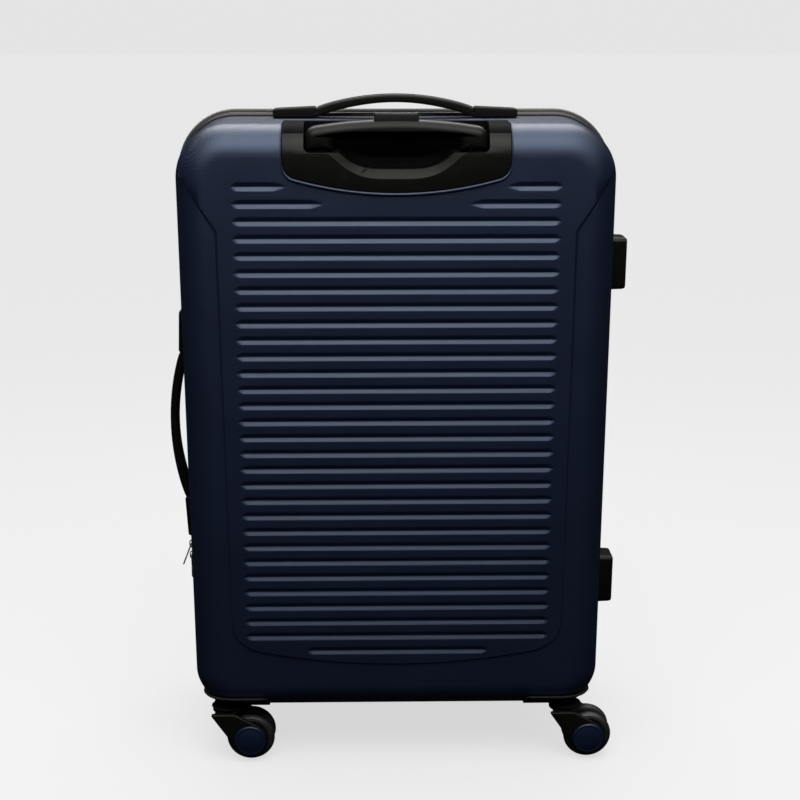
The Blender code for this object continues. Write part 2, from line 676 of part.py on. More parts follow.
# ---------------------------------------------------------------- zip sliders
def build_slider(name):
    side_x = CASE_X - CASE_WIDTH / 2.0
    z = SLIDER_Z[name]
    plate = box(name, (side_x - SLIDER_PLATE[1], -SLIDER_HALF_WIDTH, z - SLIDER_HALF_LENGTH),
                (side_x - SLIDER_PLATE[0], SLIDER_HALF_WIDTH, z + SLIDER_HALF_LENGTH), "steel")
    roof = SLIDER_PLATE[1] + STAPLE_OPENING + STAPLE_ROOF
    staple = box("staple", (side_x - roof, -STAPLE_HALF_WIDTH, z - STAPLE_HALF_LENGTH),
                 (side_x - SLIDER_PLATE[1] + SINK, STAPLE_HALF_WIDTH, z + STAPLE_HALF_LENGTH), "steel")
    change(plate, staple, "UNION")
    opening = box("opening", (side_x - SLIDER_PLATE[1] - STAPLE_OPENING, -SLIDER_CUT, z - STAPLE_GAP_HALF),
                  (side_x - SLIDER_PLATE[1], SLIDER_CUT, z + STAPLE_GAP_HALF), "steel")
    change(plate, opening)
    pivot_x = side_x - PULL_PIVOT
    pull_name = name.replace("slider", "pull")
    half = PULL_THICKNESS / 2
    pull = box(pull_name, (-half, -PULL_HALF_WIDTH, -PULL_LENGTH), (half, PULL_HALF_WIDTH, half), "steel")
    change(pull, box("window", (-SLIDER_CUT, -PULL_WINDOW[0], -PULL_WINDOW[1]),
                     (SLIDER_CUT, PULL_WINDOW[0], -half), "steel"))
    pull.data.transform(Matrix.Rotation(SLIDER_TILT[name], 4, "Y"))
    pull.location = (pivot_x, 0.0, z)
    return plate, pull


# ---------------------------------------------------------------- inside
def lining(name, side, depth, bump_low, bump_high):
    """A thin tray that follows the shell, with a boxed bump over what stands inside it."""
    clearance = WALL + LINING_CLEARANCE
    trays = []
    for inset in (clearance, clearance + LINING_THICKNESS):
        face = depth - (inset - clearance)
        rings = shell_rings(side, inset, LINING_EDGE_Y - (PAST if trays else 0.0), face)
        tray = loft(name if not trays else "inner", rings, "lining")
        grow = inset - clearance
        for end in (-1, 1):
            low = [min(a * b, c * b) for a, b, c in zip(bump_low, (end, side, 1), bump_high)]
            high = [max(a * b, c * b) for a, b, c in zip(bump_low, (end, side, 1), bump_high)]
            low = [value - grow for value in low]
            high = [value + grow for value in high]
            change(tray, box("bump", (low[0] + CASE_X, low[1], low[2]),
                             (high[0] + CASE_X, high[1], high[2]), "lining"))
        trays.append(tray)
    return change(trays[0], trays[1])


def build_inside():
    tray_low = (-BUMP_ROOM, -TRAY_BACK_Y - BUMP_ROOM, BEZEL_BOTTOM - BUMP_ROOM)
    tray_high = (BEZEL_HALF + BUMP_ROOM, FAR_Y, FAR_Z)
    lining("back_lining", -1, BACK_LINING_Y, tray_low, tray_high)
    socket_low = (CASTER_X - SOCKET_RADIUS - BUMP_ROOM, CASTER_Y - SOCKET_RADIUS - BUMP_ROOM, 0.0)
    socket_high = (FAR_X, FAR_Y, SOCKET_TOP + BUMP_ROOM)
    front = lining("front_lining", 1, FRONT_LINING_Y, socket_low, socket_high)
    half_x = CASE_WIDTH / 2.0 - STRAP_MARGIN
    low_z = SHELL_BOTTOM + STRAP_MARGIN
    high_z = SHELL_TOP - STRAP_MARGIN
    straps = None
    for lean in (-1, 1):
        run = Vector((lean * (half_x - STRAP_CORNER[0]), 0.0, (high_z - low_z) / 2 - STRAP_CORNER[1]))
        across = Vector((-run.z, 0.0, run.x)).normalized() * (STRAP_WIDTH / 2)
        middle = Vector((CASE_X, 0.0, 0.5 * (low_z + high_z)))
        corners = (middle - run - across, middle + run - across, middle + run + across,
                   middle - run + across)
        outline = [(corner.x, corner.z) for corner in corners]
        strap = prism("packing_straps", outline, STRAP_Y - PACKING_STRAP_THICKNESS, STRAP_Y, "lining")
        if straps is None:
            straps = strap
        else:
            change(straps, strap, "UNION")
    buckle_z = 0.5 * (low_z + high_z)
    box("strap_buckle",
        (CASE_X - BUCKLE_SIZE[0] / 2, STRAP_Y + GAP, buckle_z - BUCKLE_SIZE[2] / 2),
        (CASE_X + BUCKLE_SIZE[0] / 2, STRAP_Y + GAP + BUCKLE_SIZE[1], buckle_z + BUCKLE_SIZE[2] / 2),
        "black_plastic")
    rings = [case_ring(WALL + LINING_CLEARANCE, y) for y in (DIVIDER_Y, DIVIDER_Y + DIVIDER_THICKNESS)]
    divider = loft("mesh_divider", rings, "lining")
    return [front, divider]


# ---------------------------------------------------------------- assembly
def build():
    clear_scene()
    back, front = build_shells()
    moving = [front] + build_closure()
    build_bezel()
    grip, button = build_grip()
    stages = build_tubes()
    joint_empty("trolley_middle_axis", (CASE_X, TUBE_Y, TUBE_TOPS[1]), stages["middle"])
    joint_empty("trolley_inner_axis", (CASE_X, TUBE_Y, TUBE_TOPS[2]), stages["inner"] + [grip])
    pivot(button, (CASE_X, 0.5 * (GRIP_BACK_Y + GRIP_FRONT_Y), BUTTON_TOP))
    pivot(build_handle("top", handle_on_top), handle_on_top(0.0, STRAP_CREST, 0.0))
    pivot(build_handle("side", handle_on_side), handle_on_side(0.0, STRAP_CREST, 0.0))
    build_feet()
    for label, side in (("back", -1), ("front", 1)):
        for hand, end in (("left", -1), ("right", 1)):
            pieces = build_caster("caster_" + label + "_" + hand, end, side)
            if side > 0:
                moving.append(pieces[0])
    for name in SLIDER_Z:
        build_slider(name)
    moving += build_inside()
    hinge = (CASE_X + CASE_WIDTH / 2.0 + HINGE_AXIS, 0.0, 0.5 * (SHELL_BOTTOM + SHELL_TOP))
    joint_empty("front_shell_axis", hinge, moving)
    return back


build()
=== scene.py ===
"""Looks of the hard shell suitcase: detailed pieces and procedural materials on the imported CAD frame.

The trolley face looks towards -Y and +Z is up.  Sizes are in metres.  The main places come from the
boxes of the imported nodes; the ribs, the relief line, the tray and other moulded details are named
values below, estimated from the photograph.
"""
import json
import math

import bmesh
import bpy
from mathutils import Matrix, Vector
from mathutils.geometry import tessellate_polygon

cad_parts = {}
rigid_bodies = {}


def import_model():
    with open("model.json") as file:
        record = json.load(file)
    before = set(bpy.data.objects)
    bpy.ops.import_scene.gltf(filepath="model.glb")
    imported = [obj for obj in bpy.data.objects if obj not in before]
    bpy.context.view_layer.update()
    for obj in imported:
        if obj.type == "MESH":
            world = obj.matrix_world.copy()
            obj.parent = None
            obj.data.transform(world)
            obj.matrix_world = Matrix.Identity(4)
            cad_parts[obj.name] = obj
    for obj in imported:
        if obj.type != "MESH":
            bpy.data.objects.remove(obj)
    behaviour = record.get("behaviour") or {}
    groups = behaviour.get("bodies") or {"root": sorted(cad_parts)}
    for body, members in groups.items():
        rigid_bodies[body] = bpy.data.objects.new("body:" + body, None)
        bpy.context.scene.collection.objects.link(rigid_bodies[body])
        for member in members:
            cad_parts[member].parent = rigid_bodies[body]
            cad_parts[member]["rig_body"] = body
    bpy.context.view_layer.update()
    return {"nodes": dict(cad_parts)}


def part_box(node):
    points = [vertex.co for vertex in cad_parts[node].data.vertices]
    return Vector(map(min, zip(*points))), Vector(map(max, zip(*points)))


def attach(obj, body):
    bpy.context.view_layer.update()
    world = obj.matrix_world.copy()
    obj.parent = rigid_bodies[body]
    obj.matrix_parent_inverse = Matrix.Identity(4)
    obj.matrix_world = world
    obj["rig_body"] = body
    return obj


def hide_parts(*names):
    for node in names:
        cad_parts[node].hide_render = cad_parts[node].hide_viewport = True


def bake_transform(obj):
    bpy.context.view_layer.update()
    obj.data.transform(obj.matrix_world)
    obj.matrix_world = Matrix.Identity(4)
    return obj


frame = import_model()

# ---------------------------------------------------------------- sizes
SHELL_LOW, SHELL_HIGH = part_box("back_shell")
CASE_X = 0.5 * (SHELL_LOW.x + SHELL_HIGH.x)
HALF_WIDTH = 0.5 * (SHELL_HIGH.x - SHELL_LOW.x)
SHELL_BOTTOM = SHELL_LOW.z
SHELL_TOP = SHELL_HIGH.z
FACE_Y = -SHELL_LOW.y
RIM_Y = -SHELL_HIGH.y
BACK = -1                       # the half with the trolley, towards -Y
FRONT = 1
EDGE_RADIUS = 0.032             # rounding between a face and the sides
TOP_CORNER = 0.058
BOTTOM_CORNER = 0.047
DRAFT = 0.002
WALL = 0.003
GAP = 0.0003
CORNER_STEPS = 18
EDGE_STEPS = 14
CLEAR_X = 0.30                  # places outside the case, for cutters that must reach past it
CLEAR_Y = 0.20
CLEAR_Z = 0.80
BELOW_CASE = 0.02
FLAT_TOLERANCE = 1e-5           # how exactly a vertex must lie in a plane to count as part of it

# Ribbed face
RIB_TOP = 0.6552                # middle of the highest groove
RIB_PITCH = 0.01775
RIB_COUNT = 30
RIB_HALF_LENGTH = 0.1712
RIB_DEPTH = 0.0022
RIB_HALF_WIDTH = 0.0046
RIB_END = 0.0060                # length over which a groove runs out
RIB_POINT = 0.0140              # longer, pointed run-out beside the bezel
RIB_BREAK_ENDS = (0.1130, 0.0750)   # inner ends of the two interrupted grooves
RIB_LAST_HALF = 0.1025          # half length of the lowest groove
RIB_BLUNT = 0.0003              # flat left at the bottom of a groove
RIB_ROW_OFFSETS = (0.0, 0.0006, 0.0018, 0.0030, 0.0042, 0.0047, 0.0052)
FIELD_HALF = 0.1745             # half width of the grooved field
FIELD_HIGH = 0.6606
FIELD_LOW_MARGIN = 0.0054       # field kept below the last full groove
LAST_FIELD_HALF = 0.1060
LAST_FIELD_MARGIN = 0.0056
COLUMN_STEP = 0.012
COLUMN_FINE_STEP = 0.0015
COLUMN_FINE_SPOTS = ((0.075, 0.090), (0.096, 0.1035), (0.113, 0.127), (0.1645, 0.1725))
LEAST_SPACING = 0.00035

# Relief line round the face
RELIEF_DEPTH = 0.0016           # how far the outer band lies below the middle of the face
RAMP_NARROW = 0.0014
RAMP_BROAD = 0.0034
RELIEF_X = 0.1845
RELIEF_SHOULDER = (0.1865, 0.610)
RELIEF_SLOPE = 1.465            # rise over run of the diagonal towards the upper corner
RELIEF_LOW_Z = 0.1243
RELIEF_LOW_RADIUS = 0.779
RELIEF_FAR_X = 0.240
RELIEF_BEND_START = (RELIEF_X, 0.175)
RELIEF_BEND_CONTROL = (RELIEF_X - 0.001, 0.145)
RELIEF_BEND_END = (0.150, 0.1387)
RELIEF_LOW_STATIONS = (0.135, 0.115, 0.090, 0.060, 0.030, 0.0)
RAMP_TURN = 0.004               # height over which the slope widens at the shoulder
RAMP_FADE = 0.075               # height over which it narrows again above the shoulder
RAMP_LEAST_SHARE = 0.25
ON_BAND = 0.00030               # a vertex this close to the lowered band belongs to it
ON_LINE = 0.00005               # and one this close to the line is a foot of the step
SLOPE_MARGIN = 0.0015
CREST_MARGIN = 0.0002

# ---------------------------------------------------------------- node materials
class Nodes:
    """A node tree and short ways to add nodes to it."""

    def __init__(self, tree):
        self.tree = tree

    def feed(self, target, value):
        """Link a socket to another, or set its value; three numbers make an opaque colour."""
        if isinstance(value, bpy.types.NodeSocket):
            self.tree.links.new(value, target)
        elif isinstance(value, tuple) and len(value) == 3:
            target.default_value = (*value, 1.0)
        else:
            target.default_value = value

    def node(self, kind, **inputs):
        made = self.tree.nodes.new(kind)
        for socket, value in inputs.items():
            self.feed(made.inputs[socket.replace("_", " ")], value)
        return made

    def math(self, operation, *values):
        made = self.tree.nodes.new("ShaderNodeMath")
        made.operation = operation
        for target, value in zip(made.inputs, values):
            self.feed(target, value)
        return made.outputs[0]

    def blend(self, share, first, second):
        """Mix of two colours; in a colour mix node they are inputs 6 and 7 and output 2."""
        made = self.tree.nodes.new("ShaderNodeMix")
        made.data_type = "RGBA"
        for index, value in ((0, share), (6, first), (7, second)):
            self.feed(made.inputs[index], value)
        return made.outputs[2]


class Paint(Nodes):
    """A procedural material: one Principled shader and the nodes that drive it."""

    def __init__(self, name, colour, roughness, metallic=0.0, specular=0.5, **sockets):
        self.material = bpy.data.materials.new(name)
        self.material.use_nodes = True
        super().__init__(self.material.node_tree)
        self.shader = self.tree.nodes["Principled BSDF"]
        self.put("Base Color", colour)
        self.put("Roughness", roughness)
        self.put("Metallic", metallic)
        self.put("Specular IOR Level", specular)
        for socket, value in sockets.items():
            self.put(socket.replace("_", " "), value)
        self.place = self.node("ShaderNodeTexCoord").outputs["Object"]
        split = self.node("ShaderNodeSeparateXYZ", Vector=self.place)
        self.x, self.y, self.z = split.outputs

    def put(self, socket, value):
        self.feed(self.shader.inputs[socket], value)

    def sum(self, *values):
        total = values[0]
        for value in values[1:]:
            total = self.math("ADD", total, value)
        return total

    def stripes(self, position, pitch):
        """0 to 1 waves, one every pitch metres."""
        wave = self.math("SINE", self.math("MULTIPLY", position, 2.0 * math.pi / pitch))
        return self.math("MULTIPLY_ADD", wave, 0.5, 0.5)

    def noise(self, size, detail=3.0, stretch=(1.0, 1.0, 1.0)):
        """0 to 1 noise with features of about size metres, drawn out along the axes by stretch."""
        scale = [1.0 / factor for factor in stretch]
        mapped = self.node("ShaderNodeMapping", Vector=self.place, Scale=scale)
        made = self.node("ShaderNodeTexNoise", Vector=mapped.outputs[0], Scale=1.0 / size, Detail=detail)
        return made.outputs["Fac"]

    def between(self, value, low, high, start=0.0, end=1.0):
        made = self.node("ShaderNodeMapRange", Value=value, From_Min=start, From_Max=end,
                         To_Min=low, To_Max=high)
        return made.outputs["Result"]

    def bump(self, height, distance, strength=1.0):
        made = self.node("ShaderNodeBump", Height=height, Distance=distance, Strength=strength)
        self.put("Normal", made.outputs[0])


def diamond_grain(paint, pitch):
    """Fine crossed lines at 45 degrees on every side of the case."""
    side = paint.node("ShaderNodeNewGeometry").outputs["Normal"]
    upright = paint.math("ABSOLUTE", paint.node("ShaderNodeSeparateXYZ", Vector=side).outputs["Z"])
    on_top = paint.between(upright, 0.0, 1.0, 0.6, 0.8)
    across = paint.sum(paint.x, paint.y)
    one = paint.stripes(paint.sum(across, paint.z), pitch)
    other = paint.stripes(paint.math("SUBTRACT", across, paint.z), pitch)
    flat = paint.stripes(paint.math("SUBTRACT", paint.x, paint.y), pitch)
    other_side = paint.sum(paint.math("MULTIPLY", other, paint.math("SUBTRACT", 1.0, on_top)),
                           paint.math("MULTIPLY", flat, on_top))
    return paint.math("MULTIPLY", one, other_side)


def shell_paint():
    """Navy moulded polycarbonate with a fine diamond grain."""
    paint = Paint("polycarbonate_shell", (0.005, 0.007, 0.015), 0.34, specular=0.5,
                  Specular_Tint=(0.60, 0.74, 1.0, 1.0))
    grain = diamond_grain(paint, 0.0026)
    cloud = paint.noise(0.060, 4.0)
    scuff = paint.between(paint.noise(0.004, 6.0, (1.0, 1.0, 5.0)), 0.0, 1.0, 0.68, 0.80)
    deep = paint.blend(cloud, (0.0034, 0.0056, 0.0140), (0.0050, 0.0080, 0.0190))
    worn = paint.blend(paint.math("MULTIPLY", scuff, 0.25), deep, (0.012, 0.016, 0.030))
    paint.put("Base Color", paint.blend(paint.math("MULTIPLY", grain, 0.35), worn, (0.007, 0.011, 0.028)))
    paint.put("Roughness", paint.between(cloud, 0.30, 0.38))
    paint.bump(paint.sum(grain, paint.math("MULTIPLY", paint.noise(0.0006, 2.0), 0.35)), 0.00017, 1.0)
    return paint.material


SHELL_PAINT = shell_paint()


# ---------------------------------------------------------------- mesh helpers
def place_object(name, data):
    """An object for some data, linked to the scene."""
    made = bpy.data.objects.new(name, data)
    bpy.context.scene.collection.objects.link(made)
    return made


def new_mesh(name, points, faces, paint, angle=32.0):
    """A mesh object from points and faces, with doubles merged and every face turned outwards."""
    mesh = bpy.data.meshes.new(name)
    mesh.from_pydata([tuple(point) for point in points], [], faces)
    made = place_object(name, mesh)
    mesh.materials.append(paint)
    builder = bmesh.new()
    builder.from_mesh(mesh)
    bmesh.ops.remove_doubles(builder, verts=builder.verts, dist=1e-7)
    bmesh.ops.recalc_face_normals(builder, faces=builder.faces)
    builder.to_mesh(mesh)
    builder.free()
    shade(made, angle)
    return made


def shade(body, angle=32.0):
    """Smooth shading, with edges sharper than angle (in degrees) kept hard."""
    body.data.shade_smooth()
    body.data.set_sharp_from_angle(angle=math.radians(angle))


def loft(name, rings, paint, angle=32.0, closed=False):
    """A body through rings with the same number of points; closed joins the last to the first."""
    count = len(rings[0])
    points = [point for ring in rings for point in ring]
    faces = []
    spans = len(rings) if closed else len(rings) - 1
    for k in range(spans):
        first = k * count
        second = ((k + 1) % len(rings)) * count
        for i in range(count):
            j = (i + 1) % count
            faces.append((first + i, first + j, second + j, second + i))
    if not closed:
        faces.append(tuple(range(count)))
        faces.append(tuple(range(len(points) - count, len(points))))
    return new_mesh(name, points, faces, paint, angle)


def prism(name, outline, y_low, y_high, paint):
    """An outline in X and Z drawn out along Y."""
    return loft(name, [[(x, y, z) for x, z in outline] for y in (y_low, y_high)], paint)


def box(name, low, high, paint):
    outline = ((low[0], low[2]), (high[0], low[2]), (high[0], high[2]), (low[0], high[2]))
    return prism(name, outline, low[1], high[1], paint)


def turned(name, profile, centre, axis, paint, segments=64, angle=32.0, closed=False):
    """A profile of (radius, distance) points turned about an axis through centre."""
    turn = Vector((0.0, 0.0, 1.0)).rotation_difference(Vector(axis)).to_matrix()
    rings = []
    for radius, distance in profile:
        ring = []
        for i in range(segments):
            angle_here = 2.0 * math.pi * i / segments
            local = Vector((radius * math.cos(angle_here), radius * math.sin(angle_here), distance))
            ring.append(turn @ local + Vector(centre))
        rings.append(ring)
    return loft(name, rings, paint, angle, closed)


def apply_modifiers(body):
    """Replace a body's mesh by the one its modifiers give."""
    bpy.context.view_layer.update()
    view = body.evaluated_get(bpy.context.evaluated_depsgraph_get())
    mesh = bpy.data.meshes.new_from_object(view)
    body.modifiers.clear()
    body.data = mesh
    return body


def change(body, tool, operation="DIFFERENCE"):
    """Cut a tool from a body, join it or keep what they share; the tool is used up."""
    step = body.modifiers.new("change", "BOOLEAN")
    step.object = tool
    step.operation = operation
    step.solver = "EXACT"
    apply_modifiers(body)
    bpy.data.objects.remove(tool, do_unlink=True)
    return body


def soften(body, width, segments=3, angle=35.0):
    """Round the edges of a body that are sharper than angle."""
    step = body.modifiers.new("soften", "BEVEL")
    step.width = width
    step.segments = segments
    step.limit_method = "ANGLE"
    step.angle_limit = math.radians(angle)
    step.harden_normals = False
    apply_modifiers(body)
    shade(body, 40.0)
    return body


def even_normals(body):
    """Keep large flat faces flat where they meet small roundings."""
    step = body.modifiers.new("even_normals", "WEIGHTED_NORMAL")
    step.keep_sharp = True
    step.weight = 80
    return body


def arc(centre, radius, start, end, steps):
    """Points of an arc; angles in degrees."""
    points = []
    for i in range(steps + 1):
        angle = math.radians(start + (end - start) * i / steps)
        points.append((centre[0] + radius * math.cos(angle), centre[1] + radius * math.sin(angle)))
    return points


def bezier(start, control, end, steps):
    """Points of a curve that leaves start and reaches end along the lines to control."""
    points = []
    for i in range(steps + 1):
        t = i / steps
        points.append(tuple((1 - t) ** 2 * a + 2 * t * (1 - t) * b + t * t * c
                            for a, b, c in zip(start, control, end)))
    return points


def dress(piece, node, slot, *more_nodes):
    """The piece stands for a CAD node and rides on that node's body."""
    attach(piece, frame["nodes"][node]["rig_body"])
    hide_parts(node, *more_nodes)
    return piece


# ---------------------------------------------------------------- case shells
def case_outline(inset):
    """The case seen from its face, in X and Z, pulled in by inset."""
    half = HALF_WIDTH - inset
    low = SHELL_BOTTOM + inset
    high = SHELL_TOP - inset
    top = TOP_CORNER - inset
    bottom = BOTTOM_CORNER - inset
    points = arc((CASE_X + half - bottom, low + bottom), bottom, -90, 0, CORNER_STEPS)
    points += arc((CASE_X + half - top, high - top), top, 0, 90, CORNER_STEPS)
    points += arc((CASE_X - half + top, high - top), top, 90, 180, CORNER_STEPS)
    points += arc((CASE_X - half + bottom, low + bottom), bottom, 180, 270, CORNER_STEPS)
    return points


def case_ring(inset, y):
    return [(x, y, z) for x, z in case_outline(inset)]


def shell_rings(side, inset, rim_y=RIM_Y, sink=0.0):
    """Rings from the rim to the face of one half, inset all over; sink lowers the face alone."""
    radius = EDGE_RADIUS - inset
    face = FACE_Y - inset - sink
    rings = [case_ring(inset, side * rim_y)]
    for i in range(EDGE_STEPS + 1):
        angle = 0.5 * math.pi * i / EDGE_STEPS
        pulled = DRAFT + inset + radius * (1.0 - math.cos(angle))
        rings.append(case_ring(pulled, side * (face - radius + radius * math.sin(angle))))
    return rings


def solid_half(inset, side=BACK, rim_y=RIM_Y, sink=0.0):
    """One half of the case as a solid block, to cut with or to keep a part inside."""
    return loft("solid_half", shell_rings(side, inset, rim_y, sink), SHELL_PAINT)


def relief_outline():
    """Right half of the line round the raised middle of the face, from the upper corner down."""
    shoulder_x, shoulder_z = RELIEF_SHOULDER
    top = (RELIEF_FAR_X, shoulder_z + (RELIEF_FAR_X - shoulder_x) * RELIEF_SLOPE)
    points = [top, (shoulder_x, shoulder_z)]
    points += bezier(RELIEF_BEND_START, RELIEF_BEND_CONTROL, RELIEF_BEND_END, 8)
    for x in RELIEF_LOW_STATIONS:
        points.append((x, RELIEF_LOW_Z + x * x / (2.0 * RELIEF_LOW_RADIUS)))
    return points


def relief_cutter(side, outer, inner, depth):
    """The space between two lines round the face, down to depth below the shell's surface."""
    low_y, high_y = sorted((side * (FACE_Y + 0.02), side * (FACE_Y - EDGE_RADIUS + 0.004)))
    outline = [(CASE_X + x, z) for x, z in outer] + [(CASE_X - x, z) for x, z in reversed(outer[:-1])]
    outline += [(CASE_X - x, z) for x, z in inner] + [(CASE_X + x, z) for x, z in reversed(inner[:-1])]
    cutter = prism("relief", outline, low_y, high_y, SHELL_PAINT)
    change(cutter, solid_half(0.0, side, 0.0, depth))
    return cutter


def surface_level(x, z, sink=0.0):
    """Distance of a shell's outer surface from Y = 0 at a place of its face; x is from the middle."""
    across = abs(x) - (HALF_WIDTH - TOP_CORNER)
    up = z - (SHELL_TOP - TOP_CORNER)
    if across > 0.0 and up > 0.0:
        inset = TOP_CORNER - math.hypot(across, up)
    else:
        inset = min(HALF_WIDTH - abs(x), SHELL_TOP - z, z - SHELL_BOTTOM)
    pulled = max(inset - DRAFT, 0.0)
    if pulled >= EDGE_RADIUS:
        return FACE_Y - sink
    cosine = 1.0 - pulled / EDGE_RADIUS
    return FACE_Y - sink - EDGE_RADIUS + EDGE_RADIUS * math.sqrt(1.0 - cosine ** 2)


def ramp_width(z):
    """Width of the slope along the relief line: broad on the diagonal, narrow on the sides and below."""
    top = RELIEF_SHOULDER[1]
    if z < top - RAMP_TURN:
        return RAMP_NARROW
    if z < top:
        return RAMP_NARROW + (RAMP_BROAD - RAMP_NARROW) * (z - top + RAMP_TURN) / RAMP_TURN
    return RAMP_BROAD * max(RAMP_LEAST_SHARE, 1.0 - (z - top) / RAMP_FADE)


def slope_relief(shell, side):
    """Move the foot of the relief's step outwards, which turns the step into a slope."""
    line = relief_outline()
    for vertex in shell.data.vertices:
        x = vertex.co.x - CASE_X
        z = vertex.co.z
        level = side * vertex.co.y
        above_band = abs(level - surface_level(x, z, RELIEF_DEPTH))
        if above_band > ON_BAND or level > FACE_Y - CREST_MARGIN:
            continue
        near = None
        for first, second in zip(line, line[1:]):
            a = Vector(first)
            run = Vector(second) - a
            share = min(max((Vector((abs(x), z)) - a).dot(run) / run.length_squared, 0.0), 1.0)
            gap = (Vector((abs(x), z)) - a - run * share).length
            if near is None or gap < near[0]:
                near = (gap, run.normalized())
        if near[0] > ON_LINE:
            continue
        width = ramp_width(z)
        outward = Vector((-near[1].y, near[1].x)) * width
        new_x = abs(x) + outward.x
        new_z = z + outward.y
        if new_x > HALF_WIDTH - DRAFT - SLOPE_MARGIN:
            continue
        vertex.co.x = CASE_X + math.copysign(new_x, x) if abs(x) > 1e-5 else vertex.co.x
        vertex.co.z = new_z
        vertex.co.y = side * surface_level(new_x, new_z, RELIEF_DEPTH)
    shell.data.update()


def rib_depth(x, z):
    """Depth of the grooves at a point of the face; x is from the middle of the case."""
    row = round((RIB_TOP - z) / RIB_PITCH)
    if row < 0 or row >= RIB_COUNT:
        return 0.0
    off = abs(z - (RIB_TOP - row * RIB_PITCH))
    far = RIB_LAST_HALF if row == RIB_COUNT - 1 else RIB_HALF_LENGTH
    run_out = min(max((far - abs(x)) / RIB_END, 0.0), 1.0)
    if row < len(RIB_BREAK_ENDS):
        run_out = min(run_out, min(max((abs(x) - RIB_BREAK_ENDS[row]) / RIB_POINT, 0.0), 1.0))
    reach = RIB_DEPTH * run_out
    depth = max(reach - off * RIB_DEPTH / RIB_HALF_WIDTH, 0.0)
    return min(depth, reach - 0.5 * RIB_BLUNT) if depth > 0.0 else 0.0


def spread_values(low, high, step, fine_spots, fine_step):
    """Stations from low to high, closer together within each fine spot."""
    stations = {round(low, 6), round(high, 6)}
    count = int((high - low) / step)
    for i in range(count):
        stations.add(round(low + (high - low) * i / count, 6))
    for start, end in fine_spots:
        count = max(1, round((end - start) / fine_step))
        for i in range(count + 1):
            stations.add(round(start + (end - start) * i / count, 6))
    ordered = sorted(value for value in stations if low <= value <= high)
    kept = [ordered[0]]
    for value in ordered[1:]:
        if value - kept[-1] > LEAST_SPACING:
            kept.append(value)
    kept[-1] = high
    return kept


def field_columns(half):
    """X stations of a grooved field, fine where grooves end."""
    right = spread_values(0.0, half, COLUMN_STEP, COLUMN_FINE_SPOTS, COLUMN_FINE_STEP)
    return [-x for x in reversed(right[1:])] + right


def field_rows(low, high):
    """Z stations of a grooved field: several across each groove, one between grooves."""
    rows = {low, high}
    for row in range(RIB_COUNT):
        middle = RIB_TOP - row * RIB_PITCH
        for offset in RIB_ROW_OFFSETS:
            rows.update((middle - offset, middle + offset))
        rows.add(middle + 0.5 * RIB_PITCH)
    return sorted(z for z in rows if low <= z <= high)


def grid_patch(columns, rows, level):
    """Points and faces of a grid, and the loop round it; level(x, z) gives Y, with x from the middle."""
    points = [(CASE_X + x, level(x, z), z) for z in rows for x in columns]
    faces = []
    width = len(columns)
    for r in range(len(rows) - 1):
        for c in range(width - 1):
            first = r * width + c
            faces.append((first, first + 1, first + 1 + width, first + width))
    top = (len(rows) - 1) * width
    loop = list(range(width))
    loop += [r * width + width - 1 for r in range(1, len(rows))]
    loop += [top + c for c in range(width - 2, -1, -1)]
    loop += [r * width for r in range(len(rows) - 2, 0, -1)]
    return points, faces, loop


def field_patch(side, half, low, high):
    """A grid of the grooved face."""
    columns = field_columns(half)
    rows = field_rows(low, high)
    return grid_patch(columns, rows, lambda x, z: side * (FACE_Y - rib_depth(x, z)))


def open_loop(builder):
    """Vertices round the opening of a mesh, in order."""
    rim = [edge for edge in builder.edges if edge.is_boundary]
    loop = list(rim[0].verts)
    while True:
        ahead = [edge.other_vert(loop[-1]) for edge in loop[-1].link_edges if edge.is_boundary]
        ahead = [vertex for vertex in ahead if vertex is not loop[-2]]
        if not ahead or ahead[0] is loop[0]:
            return loop
        loop.append(ahead[0])


def fill_flat(body, level, patches):
    """Replace the flat of a body at Y = level by a fill round the patches, and join the patches in."""
    builder = bmesh.new()
    builder.from_mesh(body.data)
    flat = [f for f in builder.faces if all(abs(v.co.y - level) < FLAT_TOLERANCE for v in f.verts)]
    bmesh.ops.delete(builder, geom=flat, context="FACES_ONLY")
    bmesh.ops.delete(builder, geom=[e for e in builder.edges if not e.link_faces], context="EDGES")
    loops = [open_loop(builder)]
    for points, faces, loop in patches:
        verts = [builder.verts.new(point) for point in points]
        for face in faces:
            builder.faces.new([verts[i] for i in face])
        loops.append([verts[i] for i in loop])
    corners = [v for loop in loops for v in loop]
    flat_loops = [[Vector((v.co.x, v.co.z, 0.0)) for v in loop] for loop in loops]
    for triangle in tessellate_polygon(flat_loops):
        try:
            builder.faces.new([corners[i] for i in triangle])
        except ValueError:
            continue
    bmesh.ops.recalc_face_normals(builder, faces=builder.faces)
    builder.to_mesh(body.data)
    builder.free()


def build_shell(node, side):
    """A moulded half: rounded edges, relief line and a field of grooves."""
    rings = list(reversed(shell_rings(side, WALL))) + shell_rings(side, 0.0)
    shell = loft(node + "_moulding", rings, SHELL_PAINT)
    line = relief_outline()
    outside = [(CLEAR_X, line[0][1]), (CLEAR_X, BELOW_CASE), (0.0, BELOW_CASE)]
    change(shell, relief_cutter(side, outside, line, RELIEF_DEPTH))
    slope_relief(shell, side)
    if side == BACK:
        change(shell, prism("notch", bezel_outline(BEZEL_GAP), -CLEAR_Y, NOTCH_BACK_Y, SHELL_PAINT))
    last = RIB_TOP - (RIB_COUNT - 1) * RIB_PITCH
    patches = [field_patch(side, FIELD_HALF, last + RIB_PITCH - FIELD_LOW_MARGIN, FIELD_HIGH),
               field_patch(side, LAST_FIELD_HALF, last - LAST_FIELD_MARGIN, last + LAST_FIELD_MARGIN)]
    fill_flat(shell, side * FACE_Y, patches)
    shade(shell, 30.0)
    even_normals(shell)
    return dress(shell, node, "shell")


